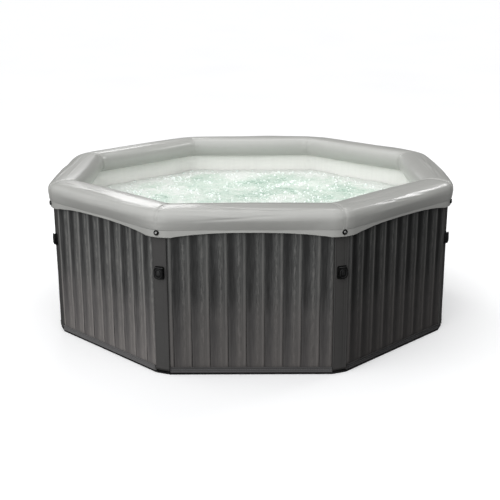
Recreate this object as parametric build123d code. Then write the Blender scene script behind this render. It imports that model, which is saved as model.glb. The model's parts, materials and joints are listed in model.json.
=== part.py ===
from build123d import *
import math
import os

# Inflatable octagonal hot tub with its external heater, pump and blower unit.
# Millimetres, +Z up.  Origin: centre of the tub on the ground.  Side 1 faces -Y,
# and the sides are numbered anticlockwise from above; the control unit is behind side 5, at +Y.

# ---------------------------------------------------------------- driving dimensions
SIDES = 8
SIDE_ANGLE = 360 / SIDES
HALF_SIDE = math.radians(SIDE_ANGLE / 2)

WALL_APOTHEM = 960.0        # centre to the outer face of a side panel
PANEL_THICKNESS = 14.0      # padded, zipped side panel
STRIP_WIDTH = 70.0          # plain strip down each corner
INNER_APOTHEM = 876.0       # centre to the inner face of the liner
LINER_THICKNESS = 3.0
SKIN = 1.5                  # skin of the air chambers
BASE_THICKNESS = 9.5
FLOOR_PAD_THICKNESS = 22.0
WALL_TOP = 668.0
TUB_HEIGHT = 760.0

PLANKS = 9                  # raised planks in each panel
GROOVE_WIDTH = 5.0
GROOVE_DEPTH = 3.0
HEM_HEIGHT = 25.0
HEM_THICKNESS = 2.5
HEM_INSET = 1.0             # from each end of the panel

RIM_INNER = 822.0           # apothems of the inflated rim
RIM_OUTER = 983.0
RIM_ROUND = 40.0
LIP_OUTER = 873.0           # part of the rim that hangs over the inside of the wall
LIP_LOW = 648.0
LIP_ROUND = 24.0
SKIRT_THICKNESS = 3.0
SKIRT_GAP = 0.5
SKIRT_LOW = 634.0           # lower edge at a corner
SKIRT_ARCH = 22.0           # how much higher the edge is in the middle of a side
SKIRT_TOP = 685.0

STUD_RADIUS = 12.0
STUD_HEIGHT = 9.0
STUD_CAP_RADIUS = 6.0
EYELET_HEIGHT = 5.4
STUD_Z = 655.0

BUCKLE_WIDTH = 46.0
BUCKLE_LENGTH = 58.0
BUCKLE_DEPTH = 16.0
BUCKLE_Z = 472.0
BUCKLE_SLOT = (28.0, 7.0, 34.0)   # width, thickness and depth of the mouth
BUCKLE_PLATE = 3.0
BUCKLE_PLATE_CORNER = 8.0
BUCKLE_SOCKET_CORNER = 14.0
BUCKLE_LATCH = (14.0, 12.0, 6.0)  # length, width and thickness of the side windows

WATER_PORT_X = 120.0        # suction at -X, return at +X
WATER_PORT_Z = 170.0
AIR_PORT_Z = 300.0
PORT_RADIUS = 25.0          # outside of a wall fitting and its thread
PORT_BORE = 19.0
PORT_CLEARANCE = 0.2
PORT_END = 1000.0           # end of a wall fitting, behind the tub
GASKET_THICKNESS = 1.0
UNION_FLANGE_RADIUS = 28.0
UNION_FLANGE_LENGTH = 6.0
UNION_START = 985.0
UNION_END = 1014.0
UNION_RADIUS = 36.0
RUNNING_GAP = 0.3           # between parts that turn or slide
THREAD_GAP = 0.1
OVERCUT = 1.0               # how far a cut runs past the face it opens

UNIT_WIDTH = 410.0
UNIT_DEPTH = 320.0
UNIT_HEIGHT = 430.0
UNIT_FRONT = 1046.0
UNIT_WALL = 4.0
UNIT_CORNER = 42.0
UNIT_TRAY_TOP = 70.0
UNIT_LID_Z = 400.0
FOOT_HEIGHT = 10.0

BUTTON_RADIUS = 10.0
BUTTON_GAP = 0.4
BUTTON_TRAVEL = 1.5
FASCIA = (184.0, 104.0, 4.5)
DISPLAY = (64.0, 30.0)

DRAIN_Z = 90.0
VALVE_Z = 590.0

# ---------------------------------------------------------------- derived dimensions
CUT_BACK = STRIP_WIDTH / (2 * math.cos(HALF_SIDE))
PANEL_HALF = WALL_APOTHEM * math.tan(HALF_SIDE) - CUT_BACK
STRIP_FACE = WALL_APOTHEM / math.cos(HALF_SIDE) - CUT_BACK * math.sin(HALF_SIDE)
MITRE = math.tan(HALF_SIDE / 2)
CHAMBER_OUTER = WALL_APOTHEM - PANEL_THICKNESS
CHAMBER_INNER = INNER_APOTHEM + LINER_THICKNESS
CHAMBER_CORNER = STRIP_FACE - PANEL_THICKNESS
FLOOR_TOP = BASE_THICKNESS + FLOOR_PAD_THICKNESS + LINER_THICKNESS
UNIT_MIDDLE = UNIT_FRONT + UNIT_DEPTH / 2
UNIT_BACK = UNIT_FRONT + UNIT_DEPTH
FAR = 2000.0

BACK_SIDE = 5
DRAIN_SIDE = 4
VALVE_SIDE = 6


# ---------------------------------------------------------------- helpers
def side(number):
    """Turn from the +X direction to the outward direction of a side."""
    return Rot(0, 0, -90 + SIDE_ANGLE * (number - 1))


def corner(number):
    """Turn from the +X direction to the corner that follows a side."""
    return Rot(0, 0, -90 + SIDE_ANGLE * (number - 0.5))


def through_wall(number, across, height):
    """Frame of a fitting in a side: its +Z is outward and measured from the tub's axis."""
    return side(number) * Pos(0, across, height) * Rot(0, 90, 0)


def octagon(apothem, turn=0.0):
    radius = apothem / math.cos(HALF_SIDE)
    angles = [math.radians(turn + SIDE_ANGLE * (i + 0.5)) for i in range(SIDES)]
    return make_face(Polyline([(radius * math.cos(a), radius * math.sin(a)) for a in angles], close=True))


def outline(apothem, corner_distance):
    """Octagon with its corners cut flat."""
    return octagon(apothem) & octagon(corner_distance, SIDE_ANGLE / 2)


def wedge(inset=0.0):
    """Sector of one side around +X, with its two flanks moved in by inset."""
    start = inset / math.sin(HALF_SIDE)
    spread = (FAR - start) * math.tan(HALF_SIDE)
    return make_face(Polyline([(start, 0), (FAR, -spread), (FAR, spread)], close=True))


def prism(face, low, high):
    return Pos(0, 0, low) * extrude(face, high - low)


def disc(radius, low, high):
    return Pos(0, 0, (low + high) / 2) * Cylinder(radius, high - low)


def ring(outer, inner, low, high):
    return disc(outer, low, high) - disc(inner, low - OVERCUT, high + OVERCUT)


def block(x0, x1, y0, y1, z0, z1):
    return Pos((x0 + x1) / 2, (y0 + y1) / 2, (z0 + z1) / 2) * Box(x1 - x0, y1 - y0, z1 - z0)


def rounded_block(width, depth, corner_radius, low, high):
    return prism(RectangleRounded(width, depth, corner_radius), low, high)


def pipe(points, bends, outer, inner):
    """Tube along straight runs joined by tangent arcs."""
    path = FilletPolyline(*points, radius=bends) if bends else Polyline(*points)
    start = Plane(path @ 0, z_dir=path % 0)
    return sweep(start * Circle(outer), path) - sweep(start * Circle(inner), path)


def group(shapes):
    solids = []
    for shape in shapes:
        solids.extend(shape.solids())
    return Compound(children=solids)


PARTS = {}


def add(name, shape):
    PARTS[name] = shape


# ---------------------------------------------------------------- wall fittings' places
def port_frames():
    """The three fittings through the back side: suction, return and air."""
    return {
        "suction": through_wall(BACK_SIDE, WATER_PORT_X, WATER_PORT_Z),
        "return": through_wall(BACK_SIDE, -WATER_PORT_X, WATER_PORT_Z),
        "air": through_wall(BACK_SIDE, 0, AIR_PORT_Z),
    }


def drain_frame():
    return through_wall(DRAIN_SIDE, 0, DRAIN_Z)


def valve_frame():
    return through_wall(VALVE_SIDE, 0, VALVE_Z)


DRAIN_RADIUS = 15.0
VALVE_RADIUS = 17.0
VALVE_HOLE_DEPTH = 40.0     # into the air chamber
HOLE_OVERCUT = 20.0


def wall_holes(clearance):
    """Cylinders of everything that passes through the wall, grown by clearance."""
    low = INNER_APOTHEM - HOLE_OVERCUT
    high = WALL_APOTHEM + HOLE_OVERCUT
    holes = [frame * disc(PORT_RADIUS + clearance, low, high) for frame in port_frames().values()]
    holes.append(drain_frame() * disc(DRAIN_RADIUS + clearance, low, high))
    return holes


def valve_hole(clearance):
    low = CHAMBER_OUTER - VALVE_HOLE_DEPTH
    return valve_frame() * disc(VALVE_RADIUS + clearance, low, WALL_APOTHEM + HOLE_OVERCUT)


# ---------------------------------------------------------------- tub
MAT_INSET = 1.0


def base_mat():
    face = outline(WALL_APOTHEM - MAT_INSET, STRIP_FACE - MAT_INSET)
    return prism(face, 0, BASE_THICKNESS)


def floor_pad():
    return prism(octagon(CHAMBER_INNER), BASE_THICKNESS, BASE_THICKNESS + FLOOR_PAD_THICKNESS)


def inner_liner():
    low = BASE_THICKNESS + FLOOR_PAD_THICKNESS
    bowl = prism(octagon(CHAMBER_INNER), low, WALL_TOP)
    bowl -= prism(octagon(INNER_APOTHEM), FLOOR_TOP, WALL_TOP + OVERCUT)
    for hole in wall_holes(PORT_CLEARANCE):
        bowl -= hole
    return bowl


def wall_chamber(number):
    """One hollow section of the inflated wall, between two corner baffles."""
    outer_face = (outline(CHAMBER_OUTER, CHAMBER_CORNER) - octagon(CHAMBER_INNER)) & wedge()
    air_face = (
        outline(CHAMBER_OUTER - SKIN, CHAMBER_CORNER - SKIN) - octagon(CHAMBER_INNER + SKIN)
    ) & wedge(SKIN / 2)
    body = side(number) * prism(outer_face, BASE_THICKNESS, WALL_TOP)
    air = side(number) * prism(air_face, BASE_THICKNESS + SKIN, WALL_TOP - SKIN)
    if number in (BACK_SIDE, DRAIN_SIDE):
        for sleeve in wall_holes(PORT_CLEARANCE + SKIN):
            air -= sleeve
    if number == VALVE_SIDE:
        air -= valve_hole(PORT_CLEARANCE + SKIN)
    body -= air
    if number in (BACK_SIDE, DRAIN_SIDE):
        for hole in wall_holes(PORT_CLEARANCE):
            body -= hole
    if number == VALVE_SIDE:
        body -= valve_hole(PORT_CLEARANCE)
    return body


def padded_strip(face_distance, half_width):
    """Upright strip of padding around +X, with its edges mitred at the corners."""
    back = face_distance - PANEL_THICKNESS
    back_half = half_width - PANEL_THICKNESS * MITRE
    corners = [
        (back, -back_half),
        (face_distance, -half_width),
        (face_distance, half_width),
        (back, back_half),
    ]
    return prism(make_face(Polyline(corners, close=True)), BASE_THICKNESS, WALL_TOP)


def wall_panel(number):
    """Padded side panel with a groove between each two planks."""
    panel = padded_strip(WALL_APOTHEM, PANEL_HALF)
    pitch = 2 * PANEL_HALF / PLANKS
    for i in range(1, PLANKS):
        y = -PANEL_HALF + pitch * i
        panel -= block(
            WALL_APOTHEM - GROOVE_DEPTH,
            WALL_APOTHEM + OVERCUT,
            y - GROOVE_WIDTH / 2,
            y + GROOVE_WIDTH / 2,
            BASE_THICKNESS + HEM_HEIGHT,
            WALL_TOP + OVERCUT,
        )
    panel = side(number) * panel
    if number in (BACK_SIDE, DRAIN_SIDE):
        for hole in wall_holes(PORT_CLEARANCE):
            panel -= hole
    if number == VALVE_SIDE:
        panel -= valve_hole(PORT_CLEARANCE)
    return panel


def corner_strip(number):
    return corner(number) * padded_strip(STRIP_FACE, STRIP_WIDTH / 2)


def hem_band(number):
    """Binding sewn along the bottom of a panel."""
    return side(number) * block(
        WALL_APOTHEM,
        WALL_APOTHEM + HEM_THICKNESS,
        HEM_INSET - PANEL_HALF,
        PANEL_HALF - HEM_INSET,
        BASE_THICKNESS,
        BASE_THICKNESS + HEM_HEIGHT,
    )


def upright_rounded(x0, x1, z0, z1, radius):
    """Rounded rectangle in the XZ plane."""
    middle = ((x0 + x1) / 2, 0, (z0 + z1) / 2)
    plane = Plane(origin=middle, x_dir=(1, 0, 0), z_dir=(0, -1, 0))
    return plane * RectangleRounded(x1 - x0, z1 - z0, radius)


def rim_section(inset):
    """The rim over the wall's top, and the lip of it that hangs inside the wall."""
    top = TUB_HEIGHT - inset
    inner = RIM_INNER + inset
    over = upright_rounded(inner, RIM_OUTER - inset, WALL_TOP + inset, top, RIM_ROUND - inset)
    lip = upright_rounded(inner, LIP_OUTER - inset, LIP_LOW + inset, top - RIM_ROUND, LIP_ROUND - inset)
    return over + lip


def rim_side(number, inset=0.0):
    """One side of the inflated rim, mitred at both corners."""
    bar = extrude(rim_section(inset), FAR / 4, both=True)
    return side(number) * (bar & prism(wedge(inset / 2), LIP_LOW - OVERCUT, TUB_HEIGHT + OVERCUT))


def rim_ring():
    return [rim_side(n) - rim_side(n, SKIN) for n in range(1, SIDES + 1)]


ARCH_CUT = 20.0             # how far the arch's cut runs in and out of the skirt


def rim_skirt():
    """Flap that hangs from the rim over the top of the panels, arched along each side."""
    inner = SKIRT_GAP
    outer = SKIRT_GAP + SKIRT_THICKNESS
    face = outline(WALL_APOTHEM + outer, STRIP_FACE + outer)
    face -= outline(WALL_APOTHEM + inner, STRIP_FACE + inner)
    skirt = prism(face, SKIRT_LOW, SKIRT_TOP)
    half = PANEL_HALF
    radius = (half**2 + SKIRT_ARCH**2) / (2 * SKIRT_ARCH)
    middle = Pos(WALL_APOTHEM, 0, SKIRT_LOW + SKIRT_ARCH - radius)
    arch = middle * Rot(0, 90, 0) * Cylinder(radius, 2 * ARCH_CUT)
    front = WALL_APOTHEM + ARCH_CUT
    arch &= block(WALL_APOTHEM - ARCH_CUT, front, -half, half, SKIRT_LOW - ARCH_CUT, SKIRT_TOP)
    for number in range(1, SIDES + 1):
        skirt -= side(number) * arch
    for number in range(1, SIDES + 1):
        skirt -= rim_side(number)
    return skirt


def rim_stud(number):
    """Snap stud at the skirt's corner: eyelet, and a domed cap on it."""
    face = STRIP_FACE + SKIRT_GAP + SKIRT_THICKNESS
    eyelet = ring(STUD_RADIUS, STUD_CAP_RADIUS, face, face + EYELET_HEIGHT)
    cap = disc(STUD_CAP_RADIUS, face, face + STUD_HEIGHT)
    return corner(number) * Pos(0, 0, STUD_Z) * Rot(0, 90, 0) * (eyelet + cap)


def buckle_socket(number):
    """Female half of a side-release buckle: a plate, and a socket with its mouth at the top."""
    socket_length = BUCKLE_LENGTH - 8
    socket_width = BUCKLE_WIDTH - 4
    plate = rounded_block(BUCKLE_LENGTH, BUCKLE_WIDTH, BUCKLE_PLATE_CORNER, 0, BUCKLE_PLATE)
    socket = rounded_block(socket_length, socket_width, BUCKLE_SOCKET_CORNER, BUCKLE_PLATE, BUCKLE_DEPTH)
    width, thickness, depth = BUCKLE_SLOT
    top = socket_length / 2
    middle = (BUCKLE_PLATE + BUCKLE_DEPTH) / 2
    slot_end = depth - top
    slot_low = middle - thickness / 2
    socket -= block(-top - OVERCUT, slot_end, -width / 2, width / 2, slot_low, slot_low + thickness)
    for edge in (-socket_width / 2, socket_width / 2):
        socket -= Pos(BUCKLE_LATCH[0] / 2 - 4, edge, middle) * Box(*BUCKLE_LATCH)
    return corner(number) * Pos(STRIP_FACE, 0, BUCKLE_Z) * Rot(0, 90, 0) * (plate + socket)


RING_WIDTH = 34.0
RING_HEIGHT = 15.0
RING_SKIN = 2.0
RING_OUTER = INNER_APOTHEM - 4      # apothem of the duct's outer side
RISER_WIDTH = 108.0
RISER_DEPTH = 18.0
RISER_OVER_PORT = 54.0
HOLES_PER_SIDE = 9
HOLE_RADIUS = 1.5


def bubble_ring():
    """Perforated air duct around the edge of the floor, with its riser up to the air port."""
    low = FLOOR_TOP
    high = FLOOR_TOP + RING_HEIGHT
    duct = prism(octagon(RING_OUTER) - octagon(RING_OUTER - RING_WIDTH), low, high)
    air = octagon(RING_OUTER - RING_SKIN) - octagon(RING_OUTER - RING_WIDTH + RING_SKIN)
    duct -= prism(air, low + RING_SKIN, high - RING_SKIN)
    front = INNER_APOTHEM - RISER_DEPTH
    half = RISER_WIDTH / 2
    top = AIR_PORT_Z + RISER_OVER_PORT
    riser = block(front, INNER_APOTHEM, -half, half, low, top)
    hollow = block(
        front + RING_SKIN,
        INNER_APOTHEM + OVERCUT,
        RING_SKIN - half,
        half - RING_SKIN,
        low + RING_SKIN,
        top - RING_SKIN,
    )
    duct += side(BACK_SIDE) * riser
    duct -= side(BACK_SIDE) * hollow
    middle = RING_OUTER - RING_WIDTH / 2
    pitch = 2 * middle * math.tan(HALF_SIDE) / (HOLES_PER_SIDE + 1)
    for number in range(1, SIDES + 1):
        for i in range(HOLES_PER_SIDE):
            y = pitch * (i - (HOLES_PER_SIDE - 1) / 2)
            duct -= side(number) * Pos(middle, y, high) * Cylinder(HOLE_RADIUS, 4 * RING_SKIN)
    return duct


# ---------------------------------------------------------------- valves
DRAIN_BORE = 10.0
DRAIN_FLANGE_RADIUS = 30.0          # inside the tub
DRAIN_FLANGE_LENGTH = 5.0
DRAIN_PLATE_RADIUS = 36.0           # outside the tub
DRAIN_PLATE_LENGTH = 6.0
DRAIN_SPOUT_RADIUS = 13.2
DRAIN_SPOUT_END = WALL_APOTHEM + 26.0
DRAIN_CAP_RADIUS = 19.0
DRAIN_CAP_END = WALL_APOTHEM + 31.0
KNURL = (2.5, 2.4)                  # depth and width of a rib on a cap
KNURL_INSET = 1.0


def drain_body():
    """Drain through the wall: inner flange, tube, outer flange and threaded outlet."""
    plate_end = WALL_APOTHEM + DRAIN_PLATE_LENGTH
    body = disc(DRAIN_RADIUS, INNER_APOTHEM, WALL_APOTHEM)
    body += disc(DRAIN_FLANGE_RADIUS, INNER_APOTHEM - DRAIN_FLANGE_LENGTH, INNER_APOTHEM)
    body += disc(DRAIN_PLATE_RADIUS, WALL_APOTHEM, plate_end)
    body += disc(DRAIN_SPOUT_RADIUS, plate_end, DRAIN_SPOUT_END)
    body -= disc(DRAIN_BORE, INNER_APOTHEM - DRAIN_FLANGE_LENGTH - OVERCUT, DRAIN_SPOUT_END + OVERCUT)
    return drain_frame() * body


def knurled_cap(radius, low, high, ribs):
    """Round cap with straight grip ribs."""
    cap = disc(radius, low, high)
    depth, width = KNURL
    x0 = radius - KNURL_INSET
    for i in range(ribs):
        rib = block(x0, x0 + depth, -width / 2, width / 2, low + KNURL_INSET, high - KNURL_INSET)
        cap += Rot(0, 0, 360 / ribs * i) * rib
    return cap


def drain_cap():
    low = WALL_APOTHEM + DRAIN_PLATE_LENGTH + RUNNING_GAP
    cap = knurled_cap(DRAIN_CAP_RADIUS, low, DRAIN_CAP_END, 20)
    cap -= disc(DRAIN_SPOUT_RADIUS + RUNNING_GAP, low - OVERCUT, DRAIN_SPOUT_END + RUNNING_GAP)
    return drain_frame() * cap


VALVE_BORE = 9.0
VALVE_CUP = 13.0                    # radius of the wider bores on both sides of the seat
VALVE_TUBE_LOW = CHAMBER_OUTER - 30
VALVE_CUP_LOW = CHAMBER_OUTER - 22
VALVE_FLANGE_RADIUS = 30.0
VALVE_FLANGE_LENGTH = 4.0
VALVE_CAP_RADIUS = 19.0
VALVE_CAP_THICKNESS = 5.0
VALVE_NECK_TOP = WALL_APOTHEM + 14
VALVE_CAP_GAP = 1.0
VALVE_HINGE_Z = VALVE_NECK_TOP + VALVE_CAP_THICKNESS / 2 + VALVE_CAP_GAP
VALVE_HINGE_X = -24.0
VALVE_LUG = (8.0, 4.0)              # length and width of a hinge lug
VALVE_LUG_Y = 8.0
VALVE_PIN = 1.5
VALVE_SEAT = CHAMBER_OUTER - 9.7
VALVE_SEAT_LENGTH = 3.0


def valve_body():
    """Inflation valve: flange, neck, tube into the air chamber with a seat, and the cap's hinge lugs."""
    flange_end = WALL_APOTHEM + VALVE_FLANGE_LENGTH
    body = disc(VALVE_RADIUS, VALVE_TUBE_LOW, WALL_APOTHEM)
    body += disc(VALVE_FLANGE_RADIUS, WALL_APOTHEM, flange_end)
    body += disc(VALVE_RADIUS, flange_end, VALVE_NECK_TOP)
    length, width = VALVE_LUG
    lug_low = flange_end - OVERCUT
    lug_high = VALVE_HINGE_Z + length / 2
    for y in (-VALVE_LUG_Y, VALVE_LUG_Y):
        middle = Pos(VALVE_HINGE_X, y, (lug_low + lug_high) / 2)
        body += middle * Box(length, width, lug_high - lug_low)
    body -= disc(VALVE_CUP, VALVE_CUP_LOW, VALVE_SEAT)
    body -= disc(VALVE_CUP, VALVE_SEAT + VALVE_SEAT_LENGTH, VALVE_NECK_TOP + OVERCUT)
    body -= disc(VALVE_BORE, VALVE_TUBE_LOW - OVERCUT, VALVE_NECK_TOP)
    pin_hole = Cylinder(VALVE_PIN + THREAD_GAP, 4 * VALVE_LUG_Y)
    body -= Pos(VALVE_HINGE_X, 0, VALVE_HINGE_Z) * Rot(90, 0, 0) * pin_hole
    return valve_frame() * body


POPPET_DISC = (11.5, 4.0)           # radius and thickness
POPPET_LOW = CHAMBER_OUTER - 14.0
POPPET_STEM = 4.0
POPPET_HEAD = (7.0, 3.0)
POPPET_TOP = WALL_APOTHEM + 8.0


def valve_poppet():
    """Sprung plunger that opens the inflation valve when it is pushed in."""
    poppet = disc(POPPET_DISC[0], POPPET_LOW, POPPET_LOW + POPPET_DISC[1])
    poppet += disc(POPPET_STEM, POPPET_LOW, POPPET_TOP)
    poppet += disc(POPPET_HEAD[0], POPPET_TOP - POPPET_HEAD[1], POPPET_TOP)
    return valve_frame() * poppet


VALVE_PLUG = (12.0, 4.0)            # radius and length of the cap's plug
VALVE_TAB_HALF = 5.5


def valve_cap():
    """Cap with a plug, on a tab that turns on the hinge pin."""
    low = VALVE_NECK_TOP + VALVE_CAP_GAP
    high = low + VALVE_CAP_THICKNESS
    cap = disc(VALVE_CAP_RADIUS, low, high)
    cap += disc(VALVE_PLUG[0], low - VALVE_PLUG[1], low)
    tab_end = 5 - VALVE_CAP_RADIUS
    cap += block(VALVE_HINGE_X - 2 * VALVE_PIN, tab_end, -VALVE_TAB_HALF, VALVE_TAB_HALF, low, high)
    pin = Cylinder(VALVE_PIN, 2 * (VALVE_LUG_Y + VALVE_LUG[1] / 2))
    cap += Pos(VALVE_HINGE_X, 0, VALVE_HINGE_Z) * Rot(90, 0, 0) * pin
    return valve_frame() * cap


# ---------------------------------------------------------------- wall fittings and filter
LOCK_NUT = (38.0, 10.0)             # half width across flats, and thickness
FLANGE_RADIUS = 46.0
FLANGE_LENGTH = 6.0


def wall_fitting():
    body = disc(FLANGE_RADIUS, INNER_APOTHEM - FLANGE_LENGTH, INNER_APOTHEM)
    body += disc(PORT_RADIUS, INNER_APOTHEM - OVERCUT, PORT_END)
    body -= disc(PORT_BORE, INNER_APOTHEM - FLANGE_LENGTH - OVERCUT, PORT_END + OVERCUT)
    return body


def lock_nut():
    half_width, thickness = LOCK_NUT
    hexagon = RegularPolygon(half_width, 6, major_radius=False)
    nut = prism(hexagon, WALL_APOTHEM, WALL_APOTHEM + thickness)
    nut -= disc(PORT_RADIUS + THREAD_GAP, WALL_APOTHEM - OVERCUT, WALL_APOTHEM + thickness + OVERCUT)
    return nut


def gasket():
    return ring(PORT_RADIUS, PORT_BORE, PORT_END, PORT_END + GASKET_THICKNESS)


def union_nut():
    flange_start = PORT_END + GASKET_THICKNESS
    flange_end = flange_start + UNION_FLANGE_LENGTH
    nut = knurled_cap(UNION_RADIUS, UNION_START, UNION_END, 24)
    nut -= disc(PORT_RADIUS + RUNNING_GAP, UNION_START - OVERCUT, UNION_END + OVERCUT)
    nut -= disc(
        UNION_FLANGE_RADIUS + RUNNING_GAP, flange_start - RUNNING_GAP, flange_end + RUNNING_GAP
    )
    return nut


GRILLE_RADIUS = 32.0
GRILLE_WALL = 4.0
GRILLE_DEPTH = 8.0
GRILLE_FACE = 3.0
JETS = 8
JET_CIRCLE = 16.0
JET_RADIUS = 4.0


def return_grille():
    """Cap over the return's inner flange, with round jets."""
    high = INNER_APOTHEM - FLANGE_LENGTH
    low = high - GRILLE_DEPTH
    cap = disc(GRILLE_RADIUS, low, high)
    cap -= disc(GRILLE_RADIUS - GRILLE_WALL, low + GRILLE_FACE, high + OVERCUT)
    for i in range(JETS):
        cap -= Rot(0, 0, 360 / JETS * i) * Pos(JET_CIRCLE, 0, low) * Cylinder(JET_RADIUS, 20)
    cap -= Pos(0, 0, low) * Cylinder(JET_RADIUS + 1, 20)
    return cap


FILTER_RADIUS = 52.0
FILTER_LENGTH = 96.0
FILTER_CAP = 6.0
PLEATS = 36
PLEAT_TOP = FILTER_RADIUS - 2
PLEAT_BOTTOM = FILTER_RADIUS - 9
COVER_RADIUS = 62.0
COVER_WALL = 4.0
COVER_GAP = 1.0
COVER_SLOTS = 18
SLOT_HALF = 3.0
SLOT_ENDS = (14.0, 16.0)            # solid length left at the far end and at the wall
GRIPS = 3
GRIP_HALF = 4.0
GRIP_HEIGHT = 6.0


def filter_cartridge():
    """Pleated paper cartridge with a flat cap at each end."""
    high = INNER_APOTHEM - FLANGE_LENGTH
    low = high - FILTER_LENGTH
    points = []
    for i in range(2 * PLEATS):
        radius = PLEAT_TOP if i % 2 == 0 else PLEAT_BOTTOM
        angle = math.pi * i / PLEATS
        points.append((radius * math.cos(angle), radius * math.sin(angle)))
    body = prism(make_face(Polyline(points, close=True)), low + FILTER_CAP, high - FILTER_CAP)
    body += disc(FILTER_RADIUS, low, low + FILTER_CAP)
    body += disc(FILTER_RADIUS, high - FILTER_CAP, high)
    body -= disc(PORT_BORE, low + FILTER_CAP, high + OVERCUT)
    return body


def filter_cover():
    """Slotted cup over the cartridge that locks on with a part turn."""
    high = INNER_APOTHEM - COVER_GAP
    low = INNER_APOTHEM - FLANGE_LENGTH - FILTER_LENGTH - 2 * COVER_WALL
    cup = disc(COVER_RADIUS, low, high)
    cup -= disc(COVER_RADIUS - COVER_WALL, low + COVER_WALL, high + OVERCUT)
    slot = block(
        COVER_RADIUS - 10,
        COVER_RADIUS + 5,
        -SLOT_HALF,
        SLOT_HALF,
        low + SLOT_ENDS[0],
        high - SLOT_ENDS[1],
    )
    for i in range(COVER_SLOTS):
        cup -= Rot(0, 0, 360 / COVER_SLOTS * i) * slot
    grip = block(-GRIP_HALF, GRIP_HALF, 18, COVER_RADIUS - 6, low - GRIP_HEIGHT, low + OVERCUT)
    for i in range(GRIPS):
        cup += Rot(0, 0, 360 / GRIPS * i) * grip
    return cup


# ---------------------------------------------------------------- control unit
def unit_place():
    return Pos(0, UNIT_MIDDLE, 0)


def unit_shape(low, high, inset=0.0):
    return unit_place() * rounded_block(
        UNIT_WIDTH - 2 * inset, UNIT_DEPTH - 2 * inset, UNIT_CORNER - inset, low, high
    )


FOOT_X = UNIT_WIDTH / 2 - 45
FOOT_Y = UNIT_DEPTH / 2 - 45
FOOT_RADII = (14.0, 18.0)           # at the ground and at the tray


def unit_feet():
    feet = []
    for x in (-FOOT_X, FOOT_X):
        for y in (-FOOT_Y, FOOT_Y):
            feet.append(Pos(x, UNIT_MIDDLE + y, FOOT_HEIGHT / 2) * Cone(*FOOT_RADII, FOOT_HEIGHT))
    return feet


GLAND_Y = UNIT_BACK - 70
GLAND_Z = 50.0
GLAND_RADIUS = 10.0


def unit_base():
    tray = unit_shape(FOOT_HEIGHT, UNIT_TRAY_TOP) - unit_shape(
        FOOT_HEIGHT + UNIT_WALL, UNIT_TRAY_TOP + OVERCUT, UNIT_WALL
    )
    hole = Cylinder(GLAND_RADIUS + THREAD_GAP, 40)
    tray -= Pos(UNIT_WIDTH / 2, GLAND_Y, GLAND_Z) * Rot(0, 90, 0) * hole
    return tray


HANDLE_X = 84.0
HANDLE_Z = 360.0
HANDLE_Y = UNIT_BACK + 13
HANDLE_DROP = 58.0
HANDLE_GRIP = 8.0                   # radius of the grip
HANDLE_BAR = (10.0, 12.0)           # width and depth of an arm
HANDLE_PIN = (4.0, 14.0)            # radius and length
LUG_RADIUS = 9.0
LUG_WIDTH = 10.0
LUG_X = HANDLE_X + 12
VENTS = 8
VENT = (40.0, 110.0, 5.0)
VENT_PITCH = 14.0
VENT_LOW = 250.0


def unit_shell():
    """Sides of the unit, with its ports, air vents and the handle's lugs."""
    shell = unit_shape(UNIT_TRAY_TOP, UNIT_LID_Z) - unit_shape(
        UNIT_TRAY_TOP - OVERCUT, UNIT_LID_Z + OVERCUT, UNIT_WALL
    )
    for x, z in ((-WATER_PORT_X, WATER_PORT_Z), (WATER_PORT_X, WATER_PORT_Z), (0, AIR_PORT_Z)):
        shell -= Pos(x, UNIT_FRONT, z) * Rot(90, 0, 0) * Cylinder(PORT_RADIUS + PORT_CLEARANCE, 40)
    for edge in (-UNIT_WIDTH / 2, UNIT_WIDTH / 2):
        for i in range(VENTS):
            shell -= Pos(edge, UNIT_MIDDLE + 20, VENT_LOW + VENT_PITCH * i) * Box(*VENT)
    for x in (-LUG_X, LUG_X):
        shell += handle_lug(x)
    return shell


def handle_lug(x):
    half = LUG_WIDTH / 2
    axis = Pos(x, HANDLE_Y, HANDLE_Z) * Rot(0, 90, 0)
    low = HANDLE_Z - LUG_RADIUS
    lug = block(x - half, x + half, UNIT_BACK - OVERCUT, HANDLE_Y, low, HANDLE_Z + LUG_RADIUS)
    lug += axis * Cylinder(LUG_RADIUS, LUG_WIDTH)
    lug -= axis * Cylinder(HANDLE_PIN[0] + RUNNING_GAP, 3 * LUG_WIDTH)
    return lug


def unit_handle():
    """Carrying bail that hangs from two lugs on the back of the unit."""
    width, depth = HANDLE_BAR
    low = HANDLE_Z - HANDLE_DROP
    grip = Cylinder(HANDLE_GRIP, 2 * (HANDLE_X - width / 2 + 1))
    bail = Pos(0, HANDLE_Y, low) * Rot(0, 90, 0) * grip
    arm_low = low - HANDLE_GRIP
    arm_high = HANDLE_Z + depth / 2
    pin_x = HANDLE_X + LUG_WIDTH
    for sign in (-1, 1):
        arm = Pos(sign * HANDLE_X, HANDLE_Y, (arm_low + arm_high) / 2)
        bail += arm * Box(width, depth, arm_high - arm_low)
        bail += Pos(sign * pin_x, HANDLE_Y, HANDLE_Z) * Rot(0, 90, 0) * Cylinder(*HANDLE_PIN)
    return bail


BUTTON_SIDE_X = 74.0
BUTTON_SIDE_Y = 22.0
ARROW_X = 22.0
ARROW_Y = -30.0


def button_places():
    """Button centres on the fascia, from its middle."""
    return {
        "button_power": (-BUTTON_SIDE_X, BUTTON_SIDE_Y),
        "button_heat": (-BUTTON_SIDE_X, -BUTTON_SIDE_Y),
        "button_up": (-ARROW_X, ARROW_Y),
        "button_down": (ARROW_X, ARROW_Y),
        "button_filter": (BUTTON_SIDE_X, BUTTON_SIDE_Y),
        "button_bubble": (BUTTON_SIDE_X, -BUTTON_SIDE_Y),
    }


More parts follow.
